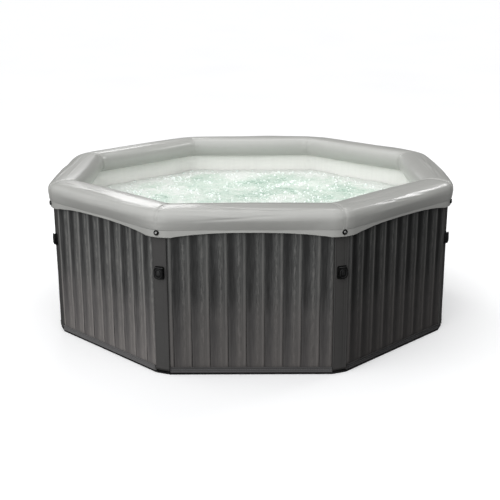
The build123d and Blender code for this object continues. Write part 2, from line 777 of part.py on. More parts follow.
FASCIA_Y = UNIT_MIDDLE + 60
FASCIA_TOP = UNIT_HEIGHT
BUTTON_LOW = FASCIA_TOP - FASCIA[2] - 3
BUTTON_TOP = FASCIA_TOP + 2.5
BUTTON_ROUND = 1.2
BUTTON_POCKET = BUTTON_LOW - BUTTON_TRAVEL - 0.5
FASCIA_CORNER = 18.0
DISPLAY_Y = FASCIA_Y + 18
DISPLAY_CORNER = 5.0
DISPLAY_DEPTH = 2.5
DISPLAY_GAP = 0.2
LID_ROUND = 12.0
LID_HOLLOW = 18.0
SCREW_X = UNIT_WIDTH / 2 - 26
SCREW_Y = UNIT_DEPTH / 2 - 26
SCREW_HEAD = 5.0
SCREW_HEAD_LENGTH = 3.0
SCREW_SHANK = 2.0
SCREW_SINK = 1.0
SCREW_SLOT = (7.0, 1.2, 2.0)


def screw_places():
    return [(x, UNIT_MIDDLE + y) for x in (-SCREW_X, SCREW_X) for y in (-SCREW_Y, SCREW_Y)]


def unit_lid():
    """Rounded lid with the fascia's recess, the button pockets and the screw holes."""
    lid = unit_shape(UNIT_LID_Z, UNIT_HEIGHT)
    lid = fillet(lid.edges().group_by(Axis.Z)[-1], LID_ROUND)
    lid -= unit_shape(UNIT_LID_Z - OVERCUT, UNIT_LID_Z + LID_HOLLOW, UNIT_WALL)
    width, depth, thickness = FASCIA
    low = FASCIA_TOP - thickness
    recess = rounded_block(width + 1, depth + 1, FASCIA_CORNER + 0.5, low, FASCIA_TOP + OVERCUT)
    lid -= Pos(0, FASCIA_Y, 0) * recess
    for x, y in button_places().values():
        lid -= Pos(x, FASCIA_Y + y, 0) * disc(BUTTON_RADIUS + BUTTON_GAP, BUTTON_POCKET, FASCIA_TOP)
    head_low = UNIT_HEIGHT - SCREW_HEAD_LENGTH - SCREW_SINK
    for x, y in screw_places():
        lid -= Pos(x, y, 0) * disc(SCREW_HEAD + RUNNING_GAP, head_low, UNIT_HEIGHT + OVERCUT)
        lid -= Pos(x, y, 0) * disc(SCREW_SHANK + THREAD_GAP, UNIT_LID_Z - OVERCUT, UNIT_HEIGHT)
    return lid


def unit_screws():
    """Countersunk screws with a cross slot, one near each corner of the lid."""
    head_top = UNIT_HEIGHT - SCREW_SINK
    head_low = head_top - SCREW_HEAD_LENGTH
    length, width, depth = SCREW_SLOT
    screw = disc(SCREW_HEAD, head_low, head_top)
    screw += disc(SCREW_SHANK, UNIT_LID_Z + 4, head_low)
    screw -= Pos(0, 0, head_top) * Box(length, width, depth)
    screw -= Pos(0, 0, head_top) * Box(width, length, depth)
    return [Pos(x, y, 0) * screw for x, y in screw_places()]


def control_fascia():
    """Fascia plate with holes for the buttons and a window for the display."""
    width, depth, thickness = FASCIA
    fascia = rounded_block(width, depth, FASCIA_CORNER, FASCIA_TOP - thickness, FASCIA_TOP)
    fascia = Pos(0, FASCIA_Y, 0) * fascia
    for x, y in button_places().values():
        hole = disc(BUTTON_RADIUS + BUTTON_GAP, FASCIA_TOP - 2 * thickness, FASCIA_TOP + OVERCUT)
        fascia -= Pos(x, FASCIA_Y + y, 0) * hole
    window = rounded_block(*DISPLAY, DISPLAY_CORNER, FASCIA_TOP - DISPLAY_DEPTH, FASCIA_TOP + OVERCUT)
    return fascia - Pos(0, DISPLAY_Y, 0) * window


def display_window():
    width = DISPLAY[0] - 2 * DISPLAY_GAP
    depth = DISPLAY[1] - 2 * DISPLAY_GAP
    corner_radius = DISPLAY_CORNER - DISPLAY_GAP
    pane = rounded_block(width, depth, corner_radius, FASCIA_TOP - DISPLAY_DEPTH, FASCIA_TOP)
    return Pos(0, DISPLAY_Y, 0) * pane


def button(x, y):
    cap = disc(BUTTON_RADIUS, BUTTON_LOW, BUTTON_TOP)
    cap = fillet(cap.edges().group_by(Axis.Z)[-1], BUTTON_ROUND)
    return Pos(x, FASCIA_Y + y, 0) * cap


GLAND_HEX = 13.0
GLAND_HEAD = 8.0
GLAND_NECK = (9.0, 16.0)            # radius, and where it ends
GLAND_BORE = 4.0
GLAND_TAIL = 8.0
GLAND_NUT = 5.0


def cable_gland():
    """Gland for the mains lead, with its lock nut inside the tray."""
    hexagon = RegularPolygon(GLAND_HEX, 6, major_radius=False)
    radius, end = GLAND_NECK
    body = prism(hexagon, 0, GLAND_HEAD)
    body += disc(GLAND_RADIUS, -UNIT_WALL - GLAND_TAIL, 0)
    body += disc(radius, GLAND_HEAD, end)
    body += prism(hexagon, -UNIT_WALL - GLAND_NUT, -UNIT_WALL)
    body -= disc(GLAND_BORE, -2 * end, 2 * end)
    return Pos(UNIT_WIDTH / 2, GLAND_Y, GLAND_Z) * Rot(0, 90, 0) * body


# ---------------------------------------------------------------- inside the control unit
PUMP_Y = UNIT_FRONT + 74
PUMP_RADIUS = 46.0
PUMP_HALF = 20.0
PUMP_WALL = 4.0
PUMP_OUTLET = 10.0          # how far the outlet stands out of the volute
PUMP_FRAME = Pos(-WATER_PORT_X, PUMP_Y, WATER_PORT_Z) * Rot(-90, 0, 0)
SHAFT = 5.0
SHAFT_GAP = 0.3
VANES = 6
VANE_HALF = 1.5
IMPELLER = (34.0, 8.0)      # radius of the wheel, and half the height of its vanes
HUB_RADIUS = 10.0
WHEEL_THICKNESS = 4.0
MOTOR_RADIUS = 42.0
MOTOR_LENGTH = 118.0
MOTOR_FINS = 12
FIN_TOP = 46.0
FIN_ENDS = (14.0, 22.0)     # bare length before and after the fins
SHAFT_REACH = 40.0          # how far a shaft runs into its motor
HEATER_Z = 246.0
HEATER_RADIUS = 26.0
HEATER_SKIN = 2.0
HEATER_CAP = 3.0
HEATER_X0 = -58.0
HEATER_X1 = 84.0
PIPE_OUTER = 24.0
SMALL_OUTER = 14.0
SMALL_INNER = 11.0
RETURN_BEND = 20.0
LINK_BEND = 18.0
REDUCER = (30.0, 4.0)       # where the return pipe narrows before the heater's axis, and its wall


def pump_housing():
    """Volute with its inlet along the suction pipe and its outlet at the top."""
    outlet = Pos(0, -PUMP_RADIUS, 0) * Rot(90, 0, 0)
    body = disc(PUMP_RADIUS, -PUMP_HALF, PUMP_HALF)
    body += outlet * Cylinder(SMALL_OUTER, 2 * PUMP_OUTLET)
    body -= disc(PUMP_RADIUS - PUMP_WALL, PUMP_WALL - PUMP_HALF, PUMP_HALF - PUMP_WALL)
    body -= disc(PORT_BORE, -PUMP_HALF - OVERCUT, 0)
    body -= disc(SHAFT + SHAFT_GAP, 0, PUMP_HALF + OVERCUT)
    body -= outlet * Cylinder(SMALL_INNER, 6 * PUMP_OUTLET)
    return PUMP_FRAME * body


def pump_impeller():
    radius, half = IMPELLER
    wheel = disc(radius, half, half + WHEEL_THICKNESS) + disc(HUB_RADIUS, -half, half)
    vane = block(HUB_RADIUS - OVERCUT, radius - 1, -VANE_HALF, VANE_HALF, -half, half + OVERCUT)
    for i in range(VANES):
        wheel += Rot(0, 0, 360 / VANES * i) * vane
    wheel += disc(SHAFT, half + WHEEL_THICKNESS, PUMP_HALF + SHAFT_REACH)
    return PUMP_FRAME * wheel


def pump_motor():
    """Finned motor with a blind bore for the pump's shaft."""
    end = PUMP_HALF + MOTOR_LENGTH
    body = disc(MOTOR_RADIUS, PUMP_HALF, end)
    low = PUMP_HALF + FIN_ENDS[0]
    fin = block(MOTOR_RADIUS - OVERCUT, FIN_TOP, -VANE_HALF, VANE_HALF, low, end - FIN_ENDS[1])
    for i in range(MOTOR_FINS):
        body += Rot(0, 0, 360 / MOTOR_FINS * i) * fin
    body -= disc(SHAFT + SHAFT_GAP, PUMP_HALF - OVERCUT, PUMP_HALF + SHAFT_REACH + 2)
    return PUMP_FRAME * body


def heater_tube():
    axis = Pos(0, PUMP_Y, HEATER_Z) * Rot(0, 90, 0)
    tube = ring(HEATER_RADIUS, HEATER_RADIUS - HEATER_SKIN, HEATER_X0, HEATER_X1)
    for low in (HEATER_X0, HEATER_X1 - HEATER_CAP):
        tube += ring(HEATER_RADIUS - HEATER_SKIN / 2, SMALL_OUTER, low, low + HEATER_CAP)
    return axis * tube


def unit_pipes():
    """Pipes between the spigots, pump, heater and blower."""
    flange_low = PORT_END + GASKET_THICKNESS
    flange_high = flange_low + UNION_FLANGE_LENGTH
    spigot = ring(UNION_FLANGE_RADIUS, PORT_BORE, flange_low, flange_high)
    suction = spigot + ring(PIPE_OUTER, PORT_BORE, flange_high, PUMP_Y - PUMP_HALF)
    air = spigot + ring(PIPE_OUTER, PORT_BORE, flange_high, BLOWER[1] - BLOWER_RADIUS)
    narrow, wall = REDUCER
    stub_end = PUMP_Y - narrow
    stub = spigot + ring(PIPE_OUTER, PORT_BORE, flange_high, stub_end)
    stub += ring(PIPE_OUTER, SMALL_INNER, stub_end, stub_end + wall)
    return_bend = pipe(
        [
            (WATER_PORT_X, stub_end + wall / 2, WATER_PORT_Z),
            (WATER_PORT_X, PUMP_Y, WATER_PORT_Z),
            (WATER_PORT_X, PUMP_Y, HEATER_Z),
            (HEATER_X1, PUMP_Y, HEATER_Z),
        ],
        RETURN_BEND,
        SMALL_OUTER,
        SMALL_INNER,
    )
    link = pipe(
        [
            (-WATER_PORT_X, PUMP_Y, WATER_PORT_Z + PUMP_RADIUS + PUMP_OUTLET),
            (-WATER_PORT_X, PUMP_Y, HEATER_Z),
            (HEATER_X0, PUMP_Y, HEATER_Z),
        ],
        LINK_BEND,
        SMALL_OUTER,
        SMALL_INNER,
    )
    frames = port_frames()
    return [
        frames["suction"] * suction,
        (frames["return"] * stub) + return_bend,
        link,
        frames["air"] * air,
    ]


BLOWER = (38.0, UNIT_FRONT + 226, AIR_PORT_Z)
BLOWER_RADIUS = 62.0
BLOWER_HALF = 24.0
BLOWER_WALL = 4.0
BLOWER_INLET = 24.0
BLADES = 16
BLADE_HALF = 1.0
BLADE_LENGTH = 13.0
FAN_RADIUS = 50.0
FAN_LOW = -16.0
FAN_DISC = (12.0, 3.0)      # where the fan's disc starts, and its thickness
BLOWER_MOTOR = (34.0, 52.0)
BLOWER_SHAFT_REACH = 30.0


def blower_housing():
    """Drum with an outlet duct to the air port and an inlet underneath."""
    x, y, z = BLOWER
    body = disc(BLOWER_RADIUS, -BLOWER_HALF, BLOWER_HALF)
    body += block(-x - PIPE_OUTER, -x + PIPE_OUTER, -BLOWER_RADIUS, 0, -BLOWER_HALF, BLOWER_HALF)
    body -= disc(BLOWER_RADIUS - BLOWER_WALL, BLOWER_WALL - BLOWER_HALF, BLOWER_HALF - BLOWER_WALL)
    air_way = Cylinder(PORT_BORE, BLOWER_RADIUS + BLOWER_WALL)
    body -= Pos(-x, -BLOWER_RADIUS / 2, 0) * Rot(90, 0, 0) * air_way
    body -= disc(BLOWER_INLET, -BLOWER_HALF - OVERCUT, BLOWER_WALL + OVERCUT - BLOWER_HALF)
    body -= disc(SHAFT + SHAFT_GAP, 0, BLOWER_HALF + OVERCUT)
    return Pos(x, y, z) * body


def blower_fan():
    low, thickness = FAN_DISC
    wheel = disc(FAN_RADIUS, low, low + thickness)
    end = FAN_RADIUS - 1
    blade = block(end - BLADE_LENGTH, end, -BLADE_HALF, BLADE_HALF, FAN_LOW, low + OVERCUT)
    for i in range(BLADES):
        wheel += Rot(0, 0, 360 / BLADES * i) * blade
    wheel += disc(12, 0, low)
    wheel += disc(SHAFT, low + thickness, BLOWER_HALF + BLOWER_SHAFT_REACH)
    return Pos(*BLOWER) * wheel


def blower_motor():
    radius, length = BLOWER_MOTOR
    body = disc(radius, BLOWER_HALF, BLOWER_HALF + length)
    body -= disc(SHAFT + SHAFT_GAP, BLOWER_HALF - OVERCUT, BLOWER_HALF + BLOWER_SHAFT_REACH + 2)
    return Pos(*BLOWER) * body


BOARD_X = 172.0
BOARD_THICKNESS = 2.0
BOARD_Y = (UNIT_FRONT + 40, UNIT_FRONT + 190)
BOARD_Z = (190.0, 236.0)
TRANSFORMER = (22.0, 40.0, 34.0)
RELAYS = 3
RELAY = (15.0, 18.0, 26.0)
RELAY_PITCH = 24.0


def circuit_board():
    """Upright board with its transformer and relays."""
    middle_z = sum(BOARD_Z) / 2
    board = block(BOARD_X, BOARD_X + BOARD_THICKNESS, *BOARD_Y, *BOARD_Z)
    board += Pos(BOARD_X - TRANSFORMER[0] / 2, UNIT_FRONT + 70, middle_z) * Box(*TRANSFORMER)
    for i in range(RELAYS):
        y = UNIT_FRONT + 113 + RELAY_PITCH * i
        board += Pos(BOARD_X - RELAY[0] / 2, y, middle_z) * Box(*RELAY)
    return board


# ---------------------------------------------------------------- assembly
def build():
    numbers = range(1, SIDES + 1)
    add("base_mat", base_mat())
    add("floor_pad", floor_pad())
    add("inner_liner", inner_liner())
    add("wall_chambers", group(wall_chamber(n) for n in numbers))
    for n in numbers:
        add(f"wall_panel_{n}", wall_panel(n))
    add("corner_strips", group(corner_strip(n) for n in numbers))
    add("bottom_hem", group(hem_band(n) for n in numbers))
    add("rim_ring", group(rim_ring()))
    add("rim_skirt", rim_skirt())
    add("rim_studs", group(rim_stud(n) for n in numbers))
    add("buckle_sockets", group(buckle_socket(n) for n in numbers))
    add("bubble_ring", bubble_ring())

    add("drain_valve_body", drain_body())
    add("drain_valve_cap", drain_cap())
    add("inflation_valve_body", valve_body())
    add("inflation_valve_poppet", valve_poppet())
    add("inflation_valve_cap", valve_cap())

    frames = port_frames()
    for name, frame in frames.items():
        add(f"{name}_fitting", frame * wall_fitting())
        add(f"union_nut_{name}", frame * union_nut())
    add("lock_nuts", group(frame * lock_nut() for frame in frames.values()))
    add("port_gaskets", group(frame * gasket() for frame in frames.values()))
    add("return_grille", frames["return"] * return_grille())
    add("filter_cartridge", frames["suction"] * filter_cartridge())
    add("filter_cover", frames["suction"] * filter_cover())

    add("unit_feet", group(unit_feet()))
    add("unit_base", unit_base())
    add("unit_shell", unit_shell())
    add("unit_lid", unit_lid())
    add("unit_screws", group(unit_screws()))
    add("unit_handle", unit_handle())
    add("control_fascia", control_fascia())
    add("display_window", display_window())
    for name, place in button_places().items():
        add(name, button(*place))
    add("cable_gland", cable_gland())

    add("pump_housing", pump_housing())
    add("pump_impeller", pump_impeller())
    add("pump_motor", pump_motor())
    add("heater_tube", heater_tube())
    add("unit_pipes", group(unit_pipes()))
    add("blower_housing", blower_housing())
    add("blower_fan", blower_fan())
    add("blower_motor", blower_motor())
    add("circuit_board", circuit_board())


def write():
    os.makedirs("parts", exist_ok=True)
    for name, shape in PARTS.items():
        export_step(shape, f"parts/{name}.step")
    print(len(PARTS), "nodes")


build()
write()
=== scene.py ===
import json
import math
import random
from collections import namedtuple

import bpy
import numpy as np
from mathutils import Matrix, Vector, noise


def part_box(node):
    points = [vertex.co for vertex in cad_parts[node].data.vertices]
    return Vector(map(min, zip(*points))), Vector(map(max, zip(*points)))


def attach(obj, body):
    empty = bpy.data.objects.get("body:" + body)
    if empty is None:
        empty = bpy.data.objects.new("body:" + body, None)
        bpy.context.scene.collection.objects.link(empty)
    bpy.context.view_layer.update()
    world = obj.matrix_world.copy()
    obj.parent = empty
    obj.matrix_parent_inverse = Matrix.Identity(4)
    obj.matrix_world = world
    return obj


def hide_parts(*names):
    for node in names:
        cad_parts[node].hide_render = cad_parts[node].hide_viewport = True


# Looks of the inflatable hot tub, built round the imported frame.  Metres, the CAD's own frame.
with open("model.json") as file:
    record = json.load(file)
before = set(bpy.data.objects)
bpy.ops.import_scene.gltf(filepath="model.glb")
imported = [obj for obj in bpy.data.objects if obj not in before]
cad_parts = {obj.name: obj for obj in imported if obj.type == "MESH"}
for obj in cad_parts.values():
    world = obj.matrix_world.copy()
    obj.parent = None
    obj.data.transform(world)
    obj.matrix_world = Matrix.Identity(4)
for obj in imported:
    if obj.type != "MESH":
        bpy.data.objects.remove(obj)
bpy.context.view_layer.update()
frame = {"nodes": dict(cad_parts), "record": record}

# ---------------------------------------------------------------- sizes, most read from the frame
SIDES = 8
HALF = math.pi / SIDES
TUB = "tub"

low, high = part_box("wall_panel_1")
WALL, PANEL_BACK, PANEL_HALF = -low.y, -high.y, high.x
PANEL_LOW, PANEL_TOP = low.z, high.z
low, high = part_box("bottom_hem")
HEM_OUT, HEM_TOP = -low.y, high.z
low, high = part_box("base_mat")
MAT_APOTHEM, MAT_TOP = -low.y, high.z
low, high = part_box("rim_ring")
RIM_OUTER, RIM_LOW, RIM_TOP = -low.y, low.z, high.z
SKIRT_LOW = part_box("rim_skirt")[0].z
low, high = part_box("inner_liner")
LINER_BACK, LINER_LOW, LINER_TOP = -low.y, low.z, high.z
low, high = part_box("rim_studs")
STUD_Z = (low.z + high.z) / 2

LINER_SKIN = 0.003
LINER = LINER_BACK - LINER_SKIN
RIM_INNER = LINER - 0.054
SKIRT_FACE = WALL + 0.0158
FLOOR_Z = LINER_LOW + LINER_SKIN
WATER_Z = 0.557
PLANKS = 9
PITCH = 2 * PANEL_HALF / PLANKS
CUT_BACK = WALL * math.tan(HALF) - PANEL_HALF
STRIP_HALF = CUT_BACK * math.cos(HALF)
STRIP_FACE = WALL / math.cos(HALF) - CUT_BACK * math.sin(HALF)
SKIRT_ARCH = 0.022
BUCKLE_DEPTH = 0.016
LINER_CORNER = 0.085          # plan radius of the liner's corners
WAVE_HEIGHT = 0.013


def side_angle(n):
    return -math.pi / 2 + 2 * HALF * (n - 1)


def corner_angle(n):
    return side_angle(n) + HALF


# ---------------------------------------------------------------- mesh helpers
def mesh_object(name, verts, faces, smooth=True):
    mesh = bpy.data.meshes.new(name)
    mesh.from_pydata([tuple(v) for v in verts], [], [tuple(f) for f in faces])
    mesh.validate()
    mesh.polygons.foreach_set("use_smooth", [smooth] * len(mesh.polygons))
    mesh.update()
    obj = bpy.data.objects.new(name, mesh)
    bpy.context.scene.collection.objects.link(obj)
    return obj


def grid_faces(rows, cols, close_rows=False, close_cols=False, start=0):
    """Quads of a grid whose points are stored row by row."""
    i = np.arange(rows if close_rows else rows - 1)
    j = np.arange(cols if close_cols else cols - 1)
    i, j = np.meshgrid(i, j, indexing="ij")
    a = i * cols + j
    b = i * cols + (j + 1) % cols
    c = ((i + 1) % rows) * cols + (j + 1) % cols
    d = ((i + 1) % rows) * cols + j
    return (np.stack([a, b, c, d], axis=-1).reshape(-1, 4) + start).tolist()


def loft(rows, flip=False):
    """Closed form through loops of equal length, capped at both ends."""
    rows = np.array(rows)
    count, cols = rows.shape[:2]
    first, last = list(range(cols)), list(range((count - 1) * cols, count * cols))
    caps = [first, last[::-1]] if flip else [first[::-1], last]
    return rows.reshape(-1, 3), grid_faces(count, cols, close_cols=True) + caps


def put_uv(obj, name, u, v):
    """Store two values for each vertex as a UV map, for the materials to read."""
    layer = obj.data.uv_layers.new(name=name)
    index = np.empty(len(obj.data.loops), dtype=np.int32)
    obj.data.loops.foreach_get("vertex_index", index)
    uv = np.stack([np.asarray(u)[index], np.asarray(v)[index]], axis=-1)
    layer.data.foreach_set("uv", uv.reshape(-1).astype(np.float32))


def put_value(obj, name, values):
    """Store one value for each vertex as an attribute, for the materials to read."""
    layer = obj.data.attributes.new(name=name, type="FLOAT", domain="POINT")
    layer.data.foreach_set("value", np.asarray(values, dtype=np.float32))


def tube(path, radius, around=8, closed=False):
    """Tube through a list of points."""
    path = np.asarray(path, dtype=float)
    ahead = np.roll(path, -1, axis=0)
    behind = np.roll(path, 1, axis=0)
    if not closed:
        ahead[-1] = path[-1]
        behind[0] = path[0]
    along = ahead - behind
    along /= np.linalg.norm(along, axis=1)[:, None]
    guide = np.array([0.13, 0.21, 0.97])
    side = np.cross(along, guide)
    side /= np.linalg.norm(side, axis=1)[:, None]
    up = np.cross(side, along)
    turn = np.arange(around) * 2 * math.pi / around
    ring = side[:, None, :] * np.cos(turn)[None, :, None] + up[:, None, :] * np.sin(turn)[None, :, None]
    points = path[:, None, :] + radius * ring
    faces = grid_faces(len(path), around, close_rows=closed, close_cols=True)
    if not closed:
        faces.append(list(range(around)))
        faces.append(list(range((len(path) - 1) * around, len(path) * around))[::-1])
    return points.reshape(-1, 3), faces


def merge(parts):
    """Join (verts, faces) pairs into one."""
    verts, faces, start = [], [], 0
    for part_verts, part_faces in parts:
        verts.append(np.asarray(part_verts))
        faces.extend([[i + start for i in face] for face in part_faces])
        start += len(part_verts)
    return np.concatenate(verts), faces


def lathe(profile, around=32):
    """Surface of revolution about +Z from (radius, height) pairs that start and end on the axis."""
    profile = np.asarray(profile, dtype=float)
    turn = np.arange(around) * 2 * math.pi / around
    inner = profile[1:-1]
    ring = np.stack(
        [
            inner[:, None, 0] * np.cos(turn),
            inner[:, None, 0] * np.sin(turn),
            np.repeat(inner[:, None, 1], around, axis=1),
        ],
        axis=-1,
    ).reshape(-1, 3)
    verts = np.vstack([ring, [[0, 0, profile[0, 1]]], [[0, 0, profile[-1, 1]]]])
    faces = grid_faces(len(inner), around, close_cols=True)
    first, last = len(ring), len(ring) + 1
    base = (len(inner) - 1) * around
    for j in range(around):
        k = (j + 1) % around
        faces.append([first, k, j])
        faces.append([last, base + j, base + k])
    return verts, faces


def turned(verts, angle, shift=(0, 0, 0)):
    """Turn points about +Z after moving them by shift."""
    verts = np.asarray(verts) + np.asarray(shift)
    c, s = math.cos(angle), math.sin(angle)
    x, y, z = verts.T
    return np.stack([x * c - y * s, x * s + y * c, z], axis=-1)


def smooth_noise(points, scale, seed):
    """Smooth noise from -1 to 1 at each point."""
    shift = Vector((seed * 7.3, seed * 3.1, seed * 5.7))
    return np.array([noise.noise(Vector(p) * scale + shift) for p in points])


def bump_at(value, centre, width):
    return np.exp(-(((value - centre) / width) ** 2))


# ---------------------------------------------------------------- the tub's plan
def plan_samples(straight, arc):
    """Places round the plan: the side's number, -1..1 along its straight, -1..1 round its corner."""
    numbers, along, turn = [], [], []
    for n in range(1, SIDES + 1):
        for t in np.linspace(-1, 1, straight, endpoint=False):
            numbers.append(n)
            along.append(t)
            turn.append(-1.0)
        for a in np.linspace(-1, 1, arc, endpoint=False):
            numbers.append(n)
            along.append(1.0)
            turn.append(a)
    return np.array(numbers), np.array(along), np.array(turn)


def plan_point(samples, apothem, radius):
    """Points and outward directions of an octagon with rounded corners."""
    numbers, along, turn = samples
    base = -math.pi / 2 + 2 * HALF * (numbers - 1)
    on_arc = turn > -1
    direction = np.where(on_arc, base + HALF + turn * HALF, base)
    reach = apothem - radius
    across = np.where(on_arc, reach * math.tan(HALF), along * reach * math.tan(HALF))
    x = reach * np.cos(base) - across * np.sin(base) + radius * np.cos(direction)
    y = reach * np.sin(base) + across * np.cos(base) + radius * np.sin(direction)
    return x, y, direction


# ---------------------------------------------------------------- material helpers
def level_ring(samples, apothem, radius, z):
    """Points of an outline at one height."""
    x, y, _ = plan_point(samples, apothem, radius)
    return np.stack([x, y, np.full(len(x), z)], axis=-1)


class Nodes:
    """Short way to build a node tree: every call adds a node and links what it is given."""

    def __init__(self, name, world=False):
        self.material = (bpy.data.worlds if world else bpy.data.materials).new(name)
        self.material.use_nodes = True
        self.tree = self.material.node_tree
        self.tree.nodes.clear()
        self.out = self.tree.nodes.new("ShaderNodeOutput" + ("World" if world else "Material"))

    def add(self, kind, inputs=None, **settings):
        node = self.tree.nodes.new("ShaderNode" + kind)
        for key, value in settings.items():
            setattr(node, key, value)
        for key, value in (inputs or {}).items():
            self.put(node.inputs[key], value)
        return node

    def put(self, socket, value):
        if isinstance(value, bpy.types.NodeSocket):
            self.tree.links.new(value, socket)
        else:
            socket.default_value = value

    def math(self, operation, a, b=0.0, c=0.0):
        node = self.add("Math", {0: a, 1: b, 2: c}, operation=operation)
        return node.outputs[0]

    def vary(self, base, value, amount):
        """Add to base as much of value, about its middle of 0.5, as amount says."""
        return self.math("MULTIPLY_ADD", self.math("SUBTRACT", value, 0.5), amount, base)

    def mix(self, share, a, b, kind="MIX"):
        node = self.add("Mix", {0: share, 6: a, 7: b}, data_type="RGBA", blend_type=kind)
        return node.outputs[2]

    def ramp(self, value, stops, interpolation="LINEAR"):
        node = self.add("ValToRGB", {0: value})
        ramp = node.color_ramp
        ramp.interpolation = interpolation
        while len(ramp.elements) < len(stops):
            ramp.elements.new(0.5)
        for element, (place, shade) in zip(ramp.elements, stops):
            element.position = place
            element.color = shade if len(shade) == 4 else (*shade, 1)
        return node.outputs[0]

    def grey_ramp(self, value, stops, interpolation="LINEAR"):
        return self.ramp(value, [(p, (g, g, g)) for p, g in stops], interpolation)

    def noise(self, vector, scale, detail=4.0, rough=0.55, w=None):
        inputs = {"Vector": vector, "Scale": scale, "Detail": detail, "Roughness": rough}
        node = self.add("TexNoise", inputs, noise_dimensions="4D" if w is not None else "3D")
        if w is not None:
            self.put(node.inputs["W"], w)
        return node.outputs[0]

    def bump(self, height, distance, strength=1.0, normal=None):
        node = self.add("Bump", {"Height": height, "Distance": distance, "Strength": strength})
        if normal is not None:
            self.put(node.inputs["Normal"], normal)
        return node.outputs[0]

    def finish(self, color, roughness, normal=None, **fixed):
        shader = self.add("BsdfPrincipled", {"Base Color": color, "Roughness": roughness})
        if normal is not None:
            self.put(shader.inputs["Normal"], normal)
        for key, value in fixed.items():
            shader.inputs[key.replace("_", " ").title().replace("Ior", "IOR")].default_value = value
        self.tree.links.new(shader.outputs[0], self.out.inputs[0])
        return self.material

    def place(self, scale=(1, 1, 1)):
        coord = self.add("TexCoord").outputs["Object"]
        return self.add("Mapping", {"Vector": coord, "Scale": scale}).outputs[0]


def rgb(red, green, blue):
    """Linear colour from an ordinary 0-255 one."""
    out = []
    for value in (red, green, blue):
        value /= 255
        out.append(value / 12.92 if value <= 0.04045 else ((value + 0.055) / 1.055) ** 2.4)
    return (*out, 1)


def shade(color, factor):
    return tuple(min(1, c * factor) for c in color[:3]) + (1,)


# ---------------------------------------------------------------- materials of the tub
def wood_tone(m):
    """Tone of the print (a pale ridge, a dark streaked band and a paler grain line on each plank), made
    lighter low down as painted light, with painted shade in the grooves.
    """
    uv = m.add("UVMap", uv_map="plank").outputs[0]
    parts = m.add("SeparateXYZ", {0: uv})
    across, height = parts.outputs[0], parts.outputs[1]
    seed = m.add("Attribute", attribute_name="panel_number").outputs["Fac"]

    def drift(scale, amount):
        place = m.add("CombineXYZ", {0: m.math("MULTIPLY", across, 4.0), 1: height}).outputs[0]
        wave = m.noise(place, scale, 2.0, w=seed)
        return m.vary(across, wave, amount)

    plank = m.math("DIVIDE", drift(6.0, 0.006), PITCH)
    number = m.math("FLOOR", m.math("DIVIDE", across, PITCH))
    share = m.math("FRACT", plank)
    number_seed = m.add("CombineXYZ", {0: number, 1: seed}).outputs[0]
    plank_tone = m.add("TexWhiteNoise", {"Vector": number_seed}).outputs[0]

    def grain(wave, amount, stretch, scale, detail):
        along = m.math("MULTIPLY", height, stretch)
        place = m.add("CombineXYZ", {0: drift(wave, amount), 1: along}).outputs[0]
        return m.noise(place, scale, detail, 0.62, w=m.math("MULTIPLY_ADD", plank_tone, 9.0, seed))

    coarse = grain(9.0, 0.016, 0.055, 75.0, 5.0)
    fine = grain(14.0, 0.006, 0.05, 330.0, 3.0)
    dashes = grain(14.0, 0.008, 0.16, 190.0, 3.0)
    cloud = grain(3.0, 0.02, 0.45, 7.0, 3.0)

    profile = m.grey_ramp(
        share,
        [
            (0.0, 0.66), (0.055, 0.50), (0.095, 0.66), (0.125, 0.88), (0.22, 0.90), (0.255, 0.52),
            (0.30, 0.20), (0.42, 0.14), (0.58, 0.20), (0.68, 0.42), (0.78, 0.56), (0.85, 0.78),
            (0.90, 0.76), (0.95, 0.60),
        ],
    )
    band_stops = [(0.28, 0.0), (0.40, 1.0), (0.60, 1.0), (0.76, 0.25), (0.82, 0.0)]
    dark_band = m.grey_ramp(share, band_stops, "EASE")
    speckled = m.grey_ramp(share, [(0.72, 0.0), (0.80, 1.0), (0.92, 1.0), (1.0, 0.2)], "EASE")
    # How far down the panel: low down the print is plainer and browner, and lighter as painted light from
    # the floor, which sends the tub no bounced light.
    low_stops = [(0.06, 1.0), (0.36, 0.78), (0.62, 0.24), (0.92, 0.0)]
    low = m.grey_ramp(m.math("DIVIDE", height, PANEL_TOP), low_stops, "EASE")

    streak = m.grey_ramp(coarse, [(0.34, 0.0), (0.50, 0.55), (0.66, 1.0)])
    hair = m.grey_ramp(fine, [(0.32, 0.0), (0.70, 1.0)])
    dash = m.grey_ramp(dashes, [(0.44, 0.0), (0.60, 1.0)])

    band_cut = m.math("MULTIPLY", dark_band, m.math("SUBTRACT", 1.0, streak))
    tone = m.math("MULTIPLY_ADD", band_cut, -0.30, profile)
    tone = m.math("MULTIPLY_ADD", m.math("MULTIPLY", speckled, m.math("SUBTRACT", dash, 0.5)), 0.36, tone)
    for value, amount in ((hair, 0.42), (streak, 0.14), (cloud, 0.45), (plank_tone, 0.10)):
        tone = m.vary(tone, value, amount)
    # Low down, pull the tone towards a plainer grey that is also lighter, which is painted light from the
    # floor.
    soft = m.math("MULTIPLY_ADD", m.math("SUBTRACT", tone, 0.58), 0.34, 0.72)
    value = m.math("MULTIPLY_ADD", m.math("SUBTRACT", soft, tone), low, tone)
    # Painted shade: dark lines in the plank grooves, stronger low down where the grooves are deeper.
    seam = m.grey_ramp(share, [(GROOVE - 0.022, 0.0), (GROOVE, 1.0), (GROOVE + 0.022, 0.0)])
    value = m.math("MULTIPLY_ADD", m.math("MULTIPLY", seam, m.math("ADD", low, 0.2)), -0.75, value)

    return value, low, coarse, fine


